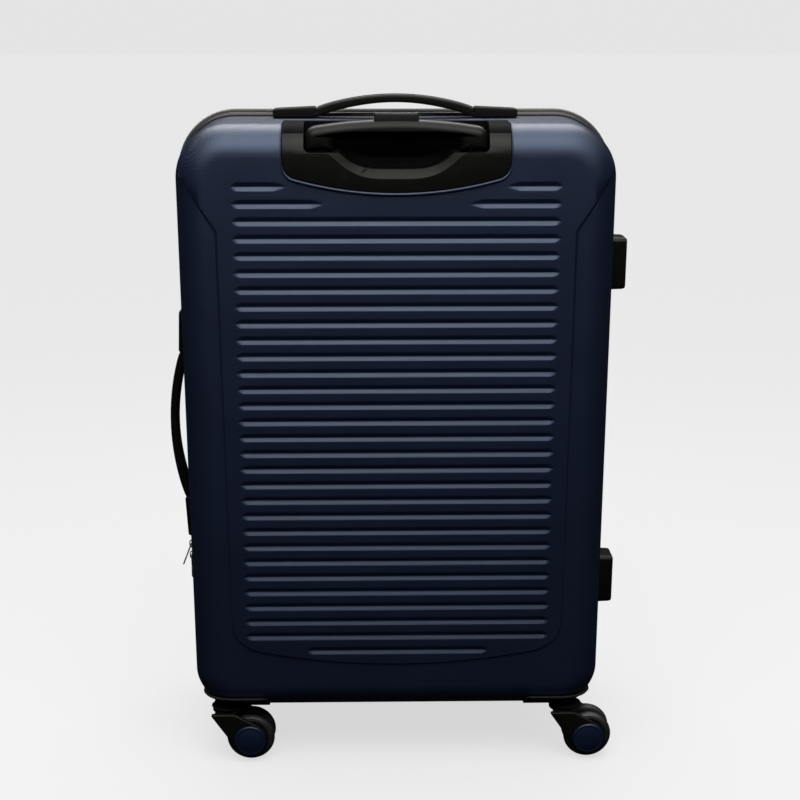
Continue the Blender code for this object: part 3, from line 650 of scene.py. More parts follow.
# ---------------------------------------------------------------- more materials
def black_paint(name="satin_black_plastic", roughness=0.34, colour=(0.0034, 0.0034, 0.0028), shine=0.11):
    """Moulded black plastic with a fine pitted skin and faint rubbed patches."""
    paint = Paint(name, colour, roughness, specular=shine)
    cloud = paint.noise(0.030, 5.0)
    pits = paint.noise(0.0007, 2.0)
    rubbed = paint.between(paint.noise(0.009, 5.0), 0.0, 0.6, 0.60, 0.78)
    lighter = tuple(2.2 * value for value in colour)
    paint.put("Base Color", paint.blend(rubbed, colour, lighter))
    paint.put("Roughness", paint.between(cloud, roughness - 0.06, roughness + 0.08))
    paint.bump(pits, 0.00008, 0.7)
    return paint.material


def trim_paint():
    """Glossy dark grey edge trim with faint fine scratches."""
    paint = Paint("gloss_edge_trim", (0.016, 0.017, 0.017), 0.26, specular=0.22)
    scratches = paint.noise(0.0008, 3.0, (12.0, 1.0, 12.0))
    paint.put("Base Color", paint.blend(paint.noise(0.02), (0.012, 0.013, 0.013), (0.022, 0.022, 0.023)))
    paint.put("Roughness", paint.between(scratches, 0.20, 0.36))
    paint.bump(scratches, 0.00003, 0.4)
    return paint.material


def weave_paint(name, dark, light, pitch, roughness=0.9, sheen=0.3):
    """Plain woven cloth: crossing threads that rise and fall, with uneven dye."""
    paint = Paint(name, dark, roughness, specular=0.2, Sheen_Weight=sheen, Sheen_Roughness=0.5)
    along = paint.sum(paint.x, paint.z)
    warp = paint.stripes(along, pitch)
    weft = paint.stripes(paint.math("ADD", paint.y, paint.math("MULTIPLY", along, 0.02)), pitch)
    cross = paint.stripes(paint.math("SUBTRACT", paint.x, paint.z), pitch)
    over = paint.math("MAXIMUM", paint.math("MULTIPLY", warp, weft),
                      paint.math("MULTIPLY", paint.math("SUBTRACT", 1.0, warp), cross))
    uneven = paint.noise(0.012, 5.0)
    shade_share = paint.math("MULTIPLY", over, paint.between(uneven, 0.4, 1.0))
    paint.put("Base Color", paint.blend(shade_share, dark, light))
    paint.bump(over, pitch * 0.25, 0.9)
    return paint.material


def brushed_paint(name, colour, roughness, stretch, metallic=1.0):
    """Drawn or brushed metal with fine lines along one direction."""
    paint = Paint(name, colour, roughness, metallic)
    lines = paint.noise(0.0006, 4.0, stretch)
    paler = tuple(min(1.0, 1.25 * value) for value in colour)
    paint.put("Base Color", paint.blend(paint.noise(0.03), colour, paler))
    paint.put("Roughness", paint.between(lines, roughness - 0.08, roughness + 0.12))
    paint.bump(lines, 0.00004, 0.5)
    return paint.material


def tyre_paint():
    """Dark polyurethane tyre, matt on the tread with dust in its pores."""
    paint = Paint("wheel_tyre", (0.010, 0.010, 0.010), 0.55, specular=0.4)
    dust = paint.between(paint.noise(0.004, 6.0), 0.0, 0.7, 0.55, 0.75)
    paint.put("Base Color", paint.blend(dust, (0.008, 0.008, 0.008), (0.035, 0.033, 0.030)))
    paint.put("Roughness", paint.between(dust, 0.45, 0.75))
    paint.bump(paint.noise(0.0005, 3.0), 0.0001, 0.6)
    return paint.material


def hub_paint():
    """Blue hub cap: the shell's colour, a little brighter, with fine uneven gloss."""
    paint = Paint("hub_cap_blue", (0.003, 0.006, 0.014), 0.34, specular=0.3)
    fine = paint.noise(0.0010, 4.0)
    cloud = paint.noise(0.012)
    paint.put("Base Color", paint.blend(cloud, (0.0026, 0.0056, 0.0150), (0.0046, 0.0086, 0.0230)))
    paint.put("Roughness", paint.between(fine, 0.24, 0.40))
    paint.bump(fine, 0.00005, 0.5)
    return paint.material


BLACK = black_paint()
# Near-black matt plastic for the deep faces of the trolley tray: painted shade in the recess behind the grip.
TRAY_SHADE_BLACK = black_paint("tray_painted_shade_plastic", 0.60, (0.0008, 0.0008, 0.0007), 0.02)
BLACK_DULL = black_paint("dull_black_plastic", 0.50, (0.0060, 0.0060, 0.0056))
TRIM = trim_paint()
TAPE = weave_paint("zip_tape_weave", (0.012, 0.012, 0.010), (0.055, 0.052, 0.042), 0.0011)
TEETH = black_paint("zip_coil_nylon", 0.35, (0.012, 0.012, 0.011))
TUBE = brushed_paint("brushed_aluminium", (0.50, 0.51, 0.53), 0.30, (1.0, 1.0, 40.0))
STEEL = brushed_paint("plated_steel", (0.42, 0.42, 0.43), 0.32, (1.0, 1.0, 6.0))
TYRE = tyre_paint()
HUB = hub_paint()
LINING = weave_paint("lining_cloth", (0.085, 0.088, 0.098), (0.150, 0.154, 0.168), 0.0016)
WEBBING = weave_paint("strap_webbing", (0.014, 0.014, 0.015), (0.060, 0.060, 0.063), 0.0022, 0.8)
MESH_CLOTH = weave_paint("divider_mesh_cloth", (0.030, 0.031, 0.036), (0.090, 0.092, 0.102), 0.0030)


# ---------------------------------------------------------------- closure
TRIM_Y = 0.0165
TAPE_Y = 0.0087
TRIM_PROUD = 0.0040
TAPE_PROUD = 0.0065
TOOTH_PITCH = 0.0026
TOOTH_SECTIONS = ((0.0060, -0.0006, 0.0028, 0.0008), (0.0070, 0.0, 0.0024, 0.0005))
HINGE_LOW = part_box("fabric_hinge")[0].z
HINGE_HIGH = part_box("fabric_hinge")[1].z
HINGE_HEIGHT = 0.0058           # of the strip's edges above the shell
HINGE_CROWN = 0.0018
HINGE_THICKNESS = 0.0012
SIDE_RIGHT = CASE_X + HALF_WIDTH
SIDE_LEFT = CASE_X - HALF_WIDTH


def edge_band(name, side, profile, paint):
    """A closed band round the case with a section of (height above the shell, distance from Y = 0)."""
    rings = [case_ring(-height, side * y) for height, y in profile]
    return loft(name, rings, paint, 35.0, closed=True)


def hinge_gap(body):
    """Cut a body away where the fabric hinge lies."""
    low = (SIDE_RIGHT - 0.02, -0.02, HINGE_LOW - GAP)
    high = (SIDE_RIGHT + 0.02, 0.02, HINGE_HIGH + GAP)
    return change(body, box("gap", low, high, TAPE))


def build_trim(node, side):
    """Glossy trim with a rounded outer face and a fine step beside the shell."""
    near = RIM_Y + GAP
    far = TRIM_Y
    profile = [(GAP, near), (0.0030, near), (0.0038, near + 0.0006), (TRIM_PROUD, near + 0.0016),
               (TRIM_PROUD, far - 0.0026), (0.0036, far - 0.0012), (0.0026, far - 0.0004),
               (0.0012, far), (GAP, far)]
    return dress(edge_band(node + "_moulding", side, profile, TRIM), node, "gloss_trim")


def build_tape(node, side):
    """Woven zip tape with a rolled edge by the trim."""
    profile = [(-WALL, GAP), (0.0058, GAP), (TAPE_PROUD - 0.0003, 0.0012), (TAPE_PROUD - 0.0003, 0.0040),
               (TAPE_PROUD, 0.0058), (TAPE_PROUD - 0.0004, 0.0078), (TAPE_PROUD - 0.0016, TAPE_Y),
               (-WALL, TAPE_Y)]
    tape = hinge_gap(edge_band(node + "_cloth", side, profile, TAPE))
    shade(tape, 35.0)
    return dress(tape, node, "zip_fabric")


def perimeter_stations(pitch):
    """Points round the case at even steps, each with its outward direction in X and Z."""
    ring = [Vector(point) for point in case_outline(0.0)]
    stations = []
    spare = 0.0
    for first, second in zip(ring, ring[1:] + ring[:1]):
        run = second - first
        length = run.length
        if length < 1e-9:
            continue
        along = run / length
        outward = Vector((along.y, -along.x))
        distance = spare
        while distance < length:
            stations.append((first + along * distance, outward, along))
            distance += pitch
        spare = distance - length
    return stations


def build_teeth(node, side):
    """Coil of small rounded teeth along the tape's inner edge, in step with the other half's."""
    points = []
    faces = []
    for index, (spot, outward, along) in enumerate(perimeter_stations(TOOTH_PITCH)):
        beside_hinge = spot.x > CASE_X and HINGE_LOW - 0.002 < spot.y < HINGE_HIGH + 0.002
        beside_hinge = beside_hinge and spot.x > SIDE_RIGHT - 0.01
        if beside_hinge or (index % 2 == 0) != (side == BACK):
            continue
        first = len(points)
        for height, near, far, half in TOOTH_SECTIONS:
            for y, shift in ((near, -half), (near, half), (far, half), (far, -half)):
                place = spot + outward * height + along * shift
                points.append((place.x, side * y, place.y))
        for corners in ((4, 5, 6, 7), (3, 2, 1, 0)):
            faces.append(tuple(first + i for i in corners))
        for i in range(4):
            j = (i + 1) % 4
            faces.append((first + i, first + j, first + 4 + j, first + 4 + i))
    teeth = new_mesh(node.replace("tape", "coil"), points, faces, TEETH, 30.0)
    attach(teeth, frame["nodes"][node]["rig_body"])
    return teeth


def build_fabric_hinge():
    """Woven strip that joins the halves and folds round the hinge line."""
    outer = []
    count = 14
    for i in range(count + 1):
        y = -TAPE_Y + 2.0 * TAPE_Y * i / count
        outer.append((HINGE_HEIGHT + HINGE_CROWN * (1.0 - (y / TAPE_Y) ** 2), y))
    section = outer + [(h - HINGE_THICKNESS, y) for h, y in reversed(outer)]
    rings = []
    steps = 96
    for k in range(steps + 1):
        z = HINGE_LOW + (HINGE_HIGH - HINGE_LOW) * k / steps
        ripple = 0.0002 * math.sin(2.0 * math.pi * k / 4.0)
        rings.append([(SIDE_RIGHT + h + ripple * (1.0 - (y / TAPE_Y) ** 2), y, z) for h, y in section])
    strip = loft("fabric_hinge_strip", rings, TAPE, 50.0)
    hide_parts("fabric_hinge")
    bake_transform(strip)
    return strip


def build_closure():
    for label, side in (("back", BACK), ("front", FRONT)):
        build_trim(label + "_trim", side)
        build_tape(label + "_zip_tape", side)
        build_teeth(label + "_zip_tape", side)
    build_fabric_hinge()


# ---------------------------------------------------------------- zip sliders
SLIDER_PLATE = 0.0030
BAIL_HALF_WIDTH = 0.0014
BAIL_HALF_THICKNESS = 0.0005
PULL_REACH = 0.0112             # from the case's side to the axis of the pulls
PULL_HALF_THICKNESS = 0.0008
UPPER_PULL_TILT = 22.0


def build_slider(node):
    """Slider body with a waisted plate and an arched bail."""
    low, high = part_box(node)
    middle_z = 0.5 * (low.z + high.z)
    plate_top = high.x - SLIDER_PLATE
    outline = [(-0.0055, -0.0040), (-0.0046, -0.0062), (0.0046, -0.0062), (0.0055, -0.0040),
               (0.0040, 0.0005), (0.0036, 0.0048), (0.0024, 0.0062), (-0.0024, 0.0062),
               (-0.0036, 0.0048), (-0.0040, 0.0005)]
    rings = [[(x, y, middle_z + z) for y, z in outline] for x in (high.x, plate_top)]
    body = soften(loft(node + "_body", rings, STEEL), 0.0004, 2)
    foot_x = plate_top + 0.0006
    bend_x = low.x + 0.0002
    crest_x = low.x + 0.0006
    path = bezier((foot_x, -0.0040), (bend_x, -0.0048), (crest_x, -0.0008), 6)
    path += bezier((crest_x, 0.0008), (bend_x, 0.0048), (foot_x, 0.0040), 6)
    bail_rings = []
    for index, (x, z) in enumerate(path):
        before = Vector(path[max(index - 1, 0)])
        after = Vector(path[min(index + 1, len(path) - 1)])
        run = (after - before).normalized()
        aside = Vector((-run.y, run.x)) * BAIL_HALF_THICKNESS
        bail_rings.append([(x + turn * aside.x, y, middle_z + z + turn * aside.y)
                           for turn, y in ((1, -BAIL_HALF_WIDTH), (1, BAIL_HALF_WIDTH),
                                           (-1, BAIL_HALF_WIDTH), (-1, -BAIL_HALF_WIDTH))])
    change(body, loft("bail", bail_rings, STEEL), "UNION")
    shade(body, 35.0)
    return dress(body, node, "steel")


def build_pull(node, tilt, pivot_z):
    """Flat pull with a window for the bail, a waist and a rounded grip end."""
    pivot = Vector((SIDE_LEFT - PULL_REACH, 0.0, pivot_z))
    half = PULL_HALF_THICKNESS
    right = [(0.0032, 0.0008), (0.0036, -0.0020), (0.0036, -0.0090), (0.0024, -0.0120), (0.0024, -0.0145),
             (0.0040, -0.0175), (0.0040, -0.0255), (0.0030, -0.0275), (0.0012, -0.0280)]
    outline = right + [(-y, z) for y, z in reversed(right)]
    plate = loft(node + "_plate", [[(x, y, z) for y, z in outline] for x in (-half, half)], STEEL)
    change(plate, box("window", (-0.004, -0.0022, -0.0078), (0.004, 0.0022, -0.0007), STEEL))
    soften(plate, 0.0003, 2, 40.0)
    plate.data.transform(Matrix.Translation(pivot) @ Matrix.Rotation(tilt, 4, "Y"))
    return dress(plate, node, "steel")


def build_sliders():
    for label, tilt in (("upper", math.radians(UPPER_PULL_TILT)), ("lower", 0.0)):
        node = "zip_slider_" + label
        low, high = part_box(node)
        build_slider(node)
        build_pull("zip_pull_" + label, tilt, 0.5 * (low.z + high.z))


# ---------------------------------------------------------------- trolley
BEZEL_HALF = 0.1173
BEZEL_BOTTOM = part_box("trolley_bezel")[0].z
BEZEL_SIDE_END = 0.6845
BEZEL_CORNER = (0.1035, 0.6635)
BEZEL_PROUD = 0.0008
TRAY_BACK_Y = -0.088
TRAY_HALF = 0.0955
TRAY_FLOOR = 0.689
SCOOP_OUTER = (0.0750, 0.0270, 1.70)    # half width, drop and shoulder of the chamfer's outer edge
SCOOP_INNER = (0.0595, 0.0170, 1.20)
SCOOP_BACK = (0.0520, 0.0080, 1.20)
SCOOP_CHAMFER = 0.0080
BEZEL_GAP = 0.0010
GRIP_LOW, GRIP_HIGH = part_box("trolley_grip")
GRIP_HALF = 0.5 * (GRIP_HIGH.x - GRIP_LOW.x)
GRIP_DROP = 0.0085
GRIP_SHOULDER = 0.0110
GRIP_GAP_HALF = 0.0655
GRIP_GAP_TOP = 0.7005
GRIP_GAP_CORNER = 0.006
GRIP_ROUNDING = 0.0095
GRIP_BACK_ROUNDING = 0.0060
GRIP_STEPS = 8
BUTTON_POCKET = 0.0040          # how deep the button's pocket is
TUBE_WALL = 0.0008
TUBE_CORNER = 0.0030
TUBE_INNER_CORNER = 0.0022
TUBE_CHAMFER = 0.0003
NOTCH_BACK_Y = -0.070           # how deep the shell is cut away behind the bezel
BEZEL_OVER_TOP = 0.02
TRAY_CORNER = 0.006
TRAY_RECESS = 0.0025
SLOT_HEIGHTS = (0.6, 0.7)       # lower and upper end of the cutters for the tube slots
BEZEL_ROUNDING = 0.0011
BEAD_RADIUS = 0.0018
BEAD_SIDES = 8
BEAD_CLIMB_STEPS = 12


def bezel_outline(grow=0.0):
    """Outline of the bezel's face, open at the top; grow widens it on every side."""
    corner_x = BEZEL_CORNER[0] + 0.7 * grow
    corner_z = BEZEL_CORNER[1] - grow
    half = BEZEL_HALF + grow
    bottom = BEZEL_BOTTOM - grow
    sag = corner_z - bottom
    radius = (corner_x ** 2 + sag ** 2) / (2.0 * sag)
    right = [(half, SHELL_TOP + BEZEL_OVER_TOP)]
    right += bezier((half, BEZEL_SIDE_END), (half, corner_z + 0.003), (corner_x, corner_z), 12)
    steps = 24
    for i in range(1, steps):
        x = corner_x * (1.0 - i / steps)
        right.append((x, bottom + radius - math.sqrt(radius ** 2 - x ** 2)))
    left = [(-x, z) for x, z in reversed(right)]
    return [(CASE_X + x, z) for x, z in right + [(0.0, bottom)] + left]


def scoop_ring(size, y):
    """Cross-section of the scoop below the grip; a larger power gives it wider shoulders."""
    half, drop, power = size
    steps = 48
    curve = []
    for i in range(steps + 1):
        angle = math.pi * i / steps
        share = max(math.sin(angle), 0.0) ** power
        level = TRAY_FLOOR - drop * share ** 2 * (3.0 - 2.0 * share)
        curve.append((CASE_X + half * math.cos(angle), y, level))
    return curve + [(CASE_X - half, y, CLEAR_Z), (CASE_X + half, y, CLEAR_Z)]


def build_bezel():
    """Frame of the trolley recess: curved lower edge, chamfered scoop, and the tray behind the grip."""
    bezel = prism("trolley_bezel_moulding", bezel_outline(), -FACE_Y - 0.01, TRAY_BACK_Y, BLACK)
    change(bezel, solid_half(-BEZEL_PROUD), "INTERSECT")
    corner_x = TRAY_HALF - TRAY_CORNER
    corner_z = TRAY_FLOOR + TRAY_CORNER
    tray = arc((CASE_X - corner_x, corner_z), TRAY_CORNER, 180, 270, 6)
    tray += arc((CASE_X + corner_x, corner_z), TRAY_CORNER, 270, 360, 6)
    tray += [(CASE_X + TRAY_HALF, CLEAR_Z), (CASE_X - TRAY_HALF, CLEAR_Z)]
    change(bezel, prism("tray", tray, -CLEAR_Y, TRAY_BACK_Y - TRAY_RECESS, BLACK))
    front = -FACE_Y - 0.0016
    rings = [scoop_ring(SCOOP_OUTER, front), scoop_ring(SCOOP_INNER, front + SCOOP_CHAMFER),
             scoop_ring(SCOOP_INNER, TRAY_BACK_Y - 0.016), scoop_ring(SCOOP_BACK, TRAY_BACK_Y - 0.005)]
    change(bezel, loft("scoop", rings, BLACK))
    for label in ("left", "right"):
        low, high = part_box("trolley_outer_tube_" + label)
        near = (low.x - GAP, low.y - GAP, SLOT_HEIGHTS[0])
        far = (high.x + GAP, high.y + GAP, SLOT_HEIGHTS[1])
        change(bezel, box("slot", near, far, BLACK))
    soften(bezel, BEZEL_ROUNDING, 3, 50.0)
    shade(bezel, 32.0)
    # Faces deep in the tray take the near-black matt plastic as painted shade.
    bezel.data.materials.append(TRAY_SHADE_BLACK)
    for polygon in bezel.data.polygons:
        if polygon.center.y > front + SCOOP_CHAMFER + 0.0030:
            polygon.material_index = 1
    return dress(bezel, "trolley_bezel", "black_plastic")


def build_bezel_bead():
    """Fine rolled edge of the shell where it meets the bezel."""
    outline = [Vector((x, z)) for x, z in bezel_outline(BEZEL_GAP)]
    start = Vector((outline[0].x, SHELL_TOP - DRAFT - 0.0002))
    finish = Vector((outline[-1].x, start.y))
    steps = BEAD_CLIMB_STEPS
    climb = [start.lerp(outline[1], i / steps) for i in range(steps)]
    descent = [finish.lerp(outline[-2], i / steps) for i in range(steps)]
    path = climb + outline[1:-1] + descent[::-1]
    spots = [Vector((p.x, -surface_level(0.0, p.y), p.y)) for p in path]
    rings = []
    for index, spot in enumerate(spots):
        run = (spots[min(index + 1, len(spots) - 1)] - spots[max(index - 1, 0)]).normalized()
        outward = Vector((0.0, -1.0, 0.0 if spot.z < SHELL_TOP - EDGE_RADIUS else 1.0))
        outward = (outward - run * outward.dot(run)).normalized()
        aside = outward.cross(run)
        radius = BEAD_RADIUS * (0.4 + 0.6 * abs(run.x))
        ring = []
        for i in range(BEAD_SIDES):
            angle = 2.0 * math.pi * i / BEAD_SIDES
            over = aside * radius * (math.cos(angle) + 0.9)
            ring.append(spot + over + outward * radius * (math.sin(angle) + 0.3))
        rings.append(ring)
    bead = loft("bezel_surround_bead", rings, SHELL_PAINT, 60.0)
    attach(bead, "case_back")


def grip_outline():
    """Arched top, square shoulders and two legs round the finger gap."""
    crown = []
    steps = 24
    reach = GRIP_HALF - GRIP_SHOULDER
    for i in range(steps + 1):
        x = -reach + 2.0 * reach * i / steps
        crown.append((x, GRIP_HIGH.z - GRIP_DROP * (x / GRIP_HALF) ** 2))
    corner_z = GRIP_HIGH.z - GRIP_DROP
    shoulder = bezier((GRIP_HALF, corner_z - GRIP_SHOULDER), (GRIP_HALF, corner_z), crown[-1], 8)
    corner = (GRIP_GAP_HALF - GRIP_GAP_CORNER, GRIP_GAP_TOP - GRIP_GAP_CORNER)
    gap = arc(corner, GRIP_GAP_CORNER, 0, 90, 6)
    gap += arc((-corner[0], corner[1]), GRIP_GAP_CORNER, 90, 180, 6)
    points = [(-GRIP_HALF, GRIP_LOW.z)] + [(-x, z) for x, z in shoulder[:-1]] + crown
    points += list(reversed(shoulder[:-1])) + [(GRIP_HALF, GRIP_LOW.z), (GRIP_GAP_HALF, GRIP_LOW.z)] + gap
    points += [(-GRIP_GAP_HALF, GRIP_LOW.z)]
    return [(CASE_X + x, z) for x, z in points]


def inset_outline(points, distance):
    """A closed outline in X and Z moved inwards at every corner."""
    count = len(points)
    area = sum(points[i - 1][0] * points[i][1] - points[i][0] * points[i - 1][1] for i in range(count))
    turn = math.copysign(1.0, area)
    moved = []
    for i, (x, z) in enumerate(points):
        before = (Vector((x, z)) - Vector(points[i - 1])).normalized()
        after = (Vector(points[(i + 1) % count]) - Vector((x, z))).normalized()
        inward = Vector((-before.y - after.y, before.x + after.x)).normalized() * turn
        spread = max(abs(inward.dot(Vector((-before.y, before.x)))), 0.5)
        moved.append((x + inward.x * distance / spread, z + inward.y * distance / spread))
    return moved


def build_grip():
    """Rounded grip with a ribbed push button in a pocket of its crown."""
    outline = grip_outline()
    front = []
    back = []
    for i in range(GRIP_STEPS + 1):
        angle = 0.5 * math.pi * i / GRIP_STEPS
        short = 1.0 - math.sin(angle)
        hollow = 1.0 - math.cos(angle)
        front.append([(x, GRIP_LOW.y + GRIP_ROUNDING * hollow, z)
                      for x, z in inset_outline(outline, GRIP_ROUNDING * short)])
        back.append([(x, GRIP_HIGH.y - GRIP_BACK_ROUNDING * hollow, z)
                     for x, z in inset_outline(outline, GRIP_BACK_ROUNDING * short)])
    rings = front + back[::-1]
    grip = loft("trolley_grip_moulding", rings, BLACK)
    low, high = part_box("trolley_button")
    pocket_low = (low.x - GAP, low.y - GAP, low.z - BUTTON_POCKET)
    change(grip, box("pocket", pocket_low, (high.x + GAP, high.y + GAP, high.z + 0.01), BLACK))
    shade(grip, 35.0)
    dress(grip, "trolley_grip", "black_plastic")
    button = box("trolley_button_cap", low, high, BLACK_DULL)
    soften(button, 0.0016, 3, 40.0)
    for k in range(-3, 4):
        x = 0.5 * (low.x + high.x) + 0.0050 * k
        change(button, box("rib", (x - 0.0006, low.y - 0.01, high.z - 0.0005),
                           (x + 0.0006, high.y + 0.01, high.z + 0.01), BLACK_DULL))
    dress(button, "trolley_button", "black_plastic")


def rounded_section(half_x, half_y, radius, steps=4):
    """Rounded rectangle round the origin, as (x, y) points."""
    radius = min(radius, half_x * 0.98, half_y * 0.98)
    points = arc((half_x - radius, half_y - radius), radius, 0, 90, steps)
    points += arc((-half_x + radius, half_y - radius), radius, 90, 180, steps)
    points += arc((-half_x + radius, -half_y + radius), radius, 180, 270, steps)
    points += arc((half_x - radius, -half_y + radius), radius, 270, 360, steps)
    return points


def build_tube(node):
    """Drawn aluminium tube with rounded corners and a real wall, open at both ends."""
    low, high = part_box(node)
    middle = (low + high) / 2.0
    half_x = 0.5 * (high.x - low.x)
    half_y = 0.5 * (high.y - low.y)
    levels = ((0.0, TUBE_CORNER, low.z), (0.0, TUBE_CORNER, high.z - TUBE_CHAMFER),
              (TUBE_CHAMFER, TUBE_CORNER, high.z),
              (TUBE_WALL, TUBE_INNER_CORNER, high.z), (TUBE_WALL, TUBE_INNER_CORNER, low.z))
    rings = []
    for inset, corner, z in levels:
        section = rounded_section(half_x - inset, half_y - inset, corner)
        rings.append([(middle.x + x, middle.y + y, z) for x, y in section])
    body = loft(node + "_profile", rings, TUBE, 40.0, closed=True)
    return dress(body, node, "tube")


def build_trolley():
    build_bezel()
    build_bezel_bead()
    build_grip()
    for stage in ("outer", "middle", "inner"):
        for label in ("left", "right"):
            build_tube("trolley_" + stage + "_tube_" + label)


# ---------------------------------------------------------------- carry handles and feet
CAP_START = 0.085
HANDLE_HALF = 0.1315
CAP_OUTER_HEIGHT = 0.0092
CAP_INNER_HEIGHT = 0.0110
CAP_HALF_WIDTH = 0.0125
STRAP_HALF_WIDTH = 0.0115
STRAP_END_HEIGHT = 0.0048
STRAP_CREST = 0.0198
STRAP_END_THICKNESS = 0.0100
STRAP_THICKNESS = 0.0085
TONGUE_END = 0.100
TONGUE_THICKNESS = 0.0020
TONGUE_FLOOR = 0.0017
TONGUE_HALF_WIDTH = 0.0095
STRAP_CORNER = 0.0026
STRAP_BOW_POWER = 0.40
STRAP_STEPS = 60
CHANNEL_HALF_LENGTH = 0.070
CHANNEL_RUN_OUT = 0.008
CHANNEL_DEPTH = 0.0006
CHANNEL_FROM_MIDDLE = 0.0062
CHANNEL_STEPS = 40
MOUTH_END = 0.1225
MOUTH_HALF_WIDTH = 0.0105
CAP_LINE = (0.1185, 0.1195)     # start and end of the shallow line across a cap


def handle_on_top(u, h, w):
    """A place on the top handle: u along it, h above the shell, w across."""
    low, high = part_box("top_handle_strap")
    return (CASE_X + u, 0.5 * (low.y + high.y) + w, SHELL_TOP + h)


def handle_on_side(u, h, w):
    """A place on the side handle: u along it, h above the shell, w across."""
    low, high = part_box("side_handle_strap")
    return (SIDE_LEFT - h, 0.5 * (low.y + high.y) + w, 0.5 * (low.z + high.z) + u)


def strap_station(u):
    """Middle height and thickness of the strap at u from its middle."""
    bow = 0.5 + 0.5 * math.cos(math.pi * min(abs(u) / CAP_START, 1.0))
    middle = STRAP_END_HEIGHT + (STRAP_CREST - STRAP_END_HEIGHT) * bow ** STRAP_BOW_POWER
    return middle, STRAP_END_THICKNESS + (STRAP_THICKNESS - STRAP_END_THICKNESS) * bow


def build_strap(node, place):
    """Bowed strap with rounded edges and two long shallow channels; its tongues reach into the caps."""
    span = CAP_START - 0.0008
    tongue_middle = TONGUE_FLOOR + TONGUE_THICKNESS / 2
    tongue = [(u, tongue_middle, TONGUE_THICKNESS, TONGUE_HALF_WIDTH) for u in (-TONGUE_END, -span)]
    sections = list(tongue)
    for i in range(STRAP_STEPS + 1):
        u = -span + 2.0 * span * i / STRAP_STEPS
        middle, thickness = strap_station(u)
        sections.append((u, middle, thickness, STRAP_HALF_WIDTH))
    sections += [(-u, middle, thickness, half) for u, middle, thickness, half in reversed(tongue)]
    rings = []
    for u, middle, thickness, half in sections:
        ring = []
        for w, h in rounded_section(half, thickness / 2, STRAP_CORNER, 5):
            ring.append(place(u, middle + h, w))
        rings.append(ring)
    strap = loft(node + "_moulding", rings, BLACK, 40.0)
    for edge in (-1, 1):
        groove = []
        for i in range(CHANNEL_STEPS + 1):
            u = -CHANNEL_HALF_LENGTH + 2.0 * CHANNEL_HALF_LENGTH * i / CHANNEL_STEPS
            middle, thickness = strap_station(u)
            top = middle + thickness / 2
            depth = CHANNEL_DEPTH * min(1.0, (CHANNEL_HALF_LENGTH - abs(u)) / CHANNEL_RUN_OUT) - 0.00005
            w = edge * CHANNEL_FROM_MIDDLE
            groove.append([place(u, top - depth, w - 0.0005), place(u, top - depth, w + 0.0005),
                           place(u, top + 0.001, w + 0.0007), place(u, top + 0.001, w - 0.0007)])
        change(strap, loft("groove", groove, BLACK))
    shade(strap, 35.0)
    return dress(strap, node, "black_plastic")


def build_cap(node, place, end):
    """End cap that slopes up to the strap, with a mouth for the tongue and a fine shallow line across."""
    profile = [(CAP_START, GAP), (HANDLE_HALF, GAP), (HANDLE_HALF, CAP_OUTER_HEIGHT - 0.0020),
               (HANDLE_HALF - 0.0012, CAP_OUTER_HEIGHT - 0.0004), (HANDLE_HALF - 0.0050, CAP_OUTER_HEIGHT),
               (CAP_START + 0.0020, CAP_INNER_HEIGHT), (CAP_START, CAP_INNER_HEIGHT - 0.0012)]
    rings = [[place(end * u, h, w) for u, h in profile] for w in (-CAP_HALF_WIDTH, CAP_HALF_WIDTH)]
    cap = soften(loft(node + "_moulding", rings, BLACK), 0.0010, 3, 50.0)
    mouth = ((CAP_START - 0.01, -0.01), (MOUTH_END, -0.01), (MOUTH_END, CAP_OUTER_HEIGHT - 0.0015),
             (CAP_START - 0.01, 0.0101))
    rings = [[place(end * u, h, w) for u, h in mouth] for w in (-MOUTH_HALF_WIDTH, MOUTH_HALF_WIDTH)]
    change(cap, loft("mouth", rings, BLACK))
    low_h = CAP_OUTER_HEIGHT + 0.0002
    high_h = CAP_OUTER_HEIGHT + 0.003
    line = ((CAP_LINE[0], low_h), (CAP_LINE[1], low_h), (CAP_LINE[1], high_h), (CAP_LINE[0], high_h))
    rings = [[place(end * u, h, w) for u, h in line] for w in (-0.0200, 0.0200)]
    change(cap, loft("line", rings, BLACK))
    shade(cap, 35.0)
    return dress(cap, node, "black_plastic")


def build_handles():
    for prefix, place, names in (("top", handle_on_top, ("left", "right")),
                                 ("side", handle_on_side, ("lower", "upper"))):
        build_strap(prefix + "_handle_strap", place)
        for label, end in zip(names, (-1, 1)):
            build_cap(prefix + "_handle_cap_" + label, place, end)


def build_foot(node):
    """Side foot: a tapered block with a recessed, ribbed outer face."""
    low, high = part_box(node)
    middle_y = 0.5 * (low.y + high.y)
    middle_z = 0.5 * (low.z + high.z)
    half_y = 0.5 * (high.y - low.y)
    half_z = 0.5 * (high.z - low.z)
    rings = []
    for x, shrink in ((SIDE_RIGHT - 0.0020, 0.0), (high.x - 0.0040, 0.0006),
                      (high.x - 0.0012, 0.0012), (high.x - 0.0003, 0.0022), (high.x, 0.0036),
                      (high.x, 0.0070), (high.x - 0.0016, 0.0080)):
        section = rounded_section(half_y - shrink, half_z - shrink, max(0.0055 - shrink, 0.0012), 6)
        rings.append([(x, middle_y + y, middle_z + z) for y, z in section])
    foot = loft(node + "_moulding", rings, BLACK, 40.0)
    for k in range(-3, 4):
        z = middle_z + 0.0055 * k
        rib = box("rib", (high.x - 0.0030, middle_y - half_y + 0.0095, z - 0.0008),
                  (high.x - 0.0004, middle_y + half_y - 0.0095, z + 0.0008), BLACK)
        change(foot, rib, "UNION")
    shade(foot, 35.0)
    return dress(foot, node, "black_plastic")


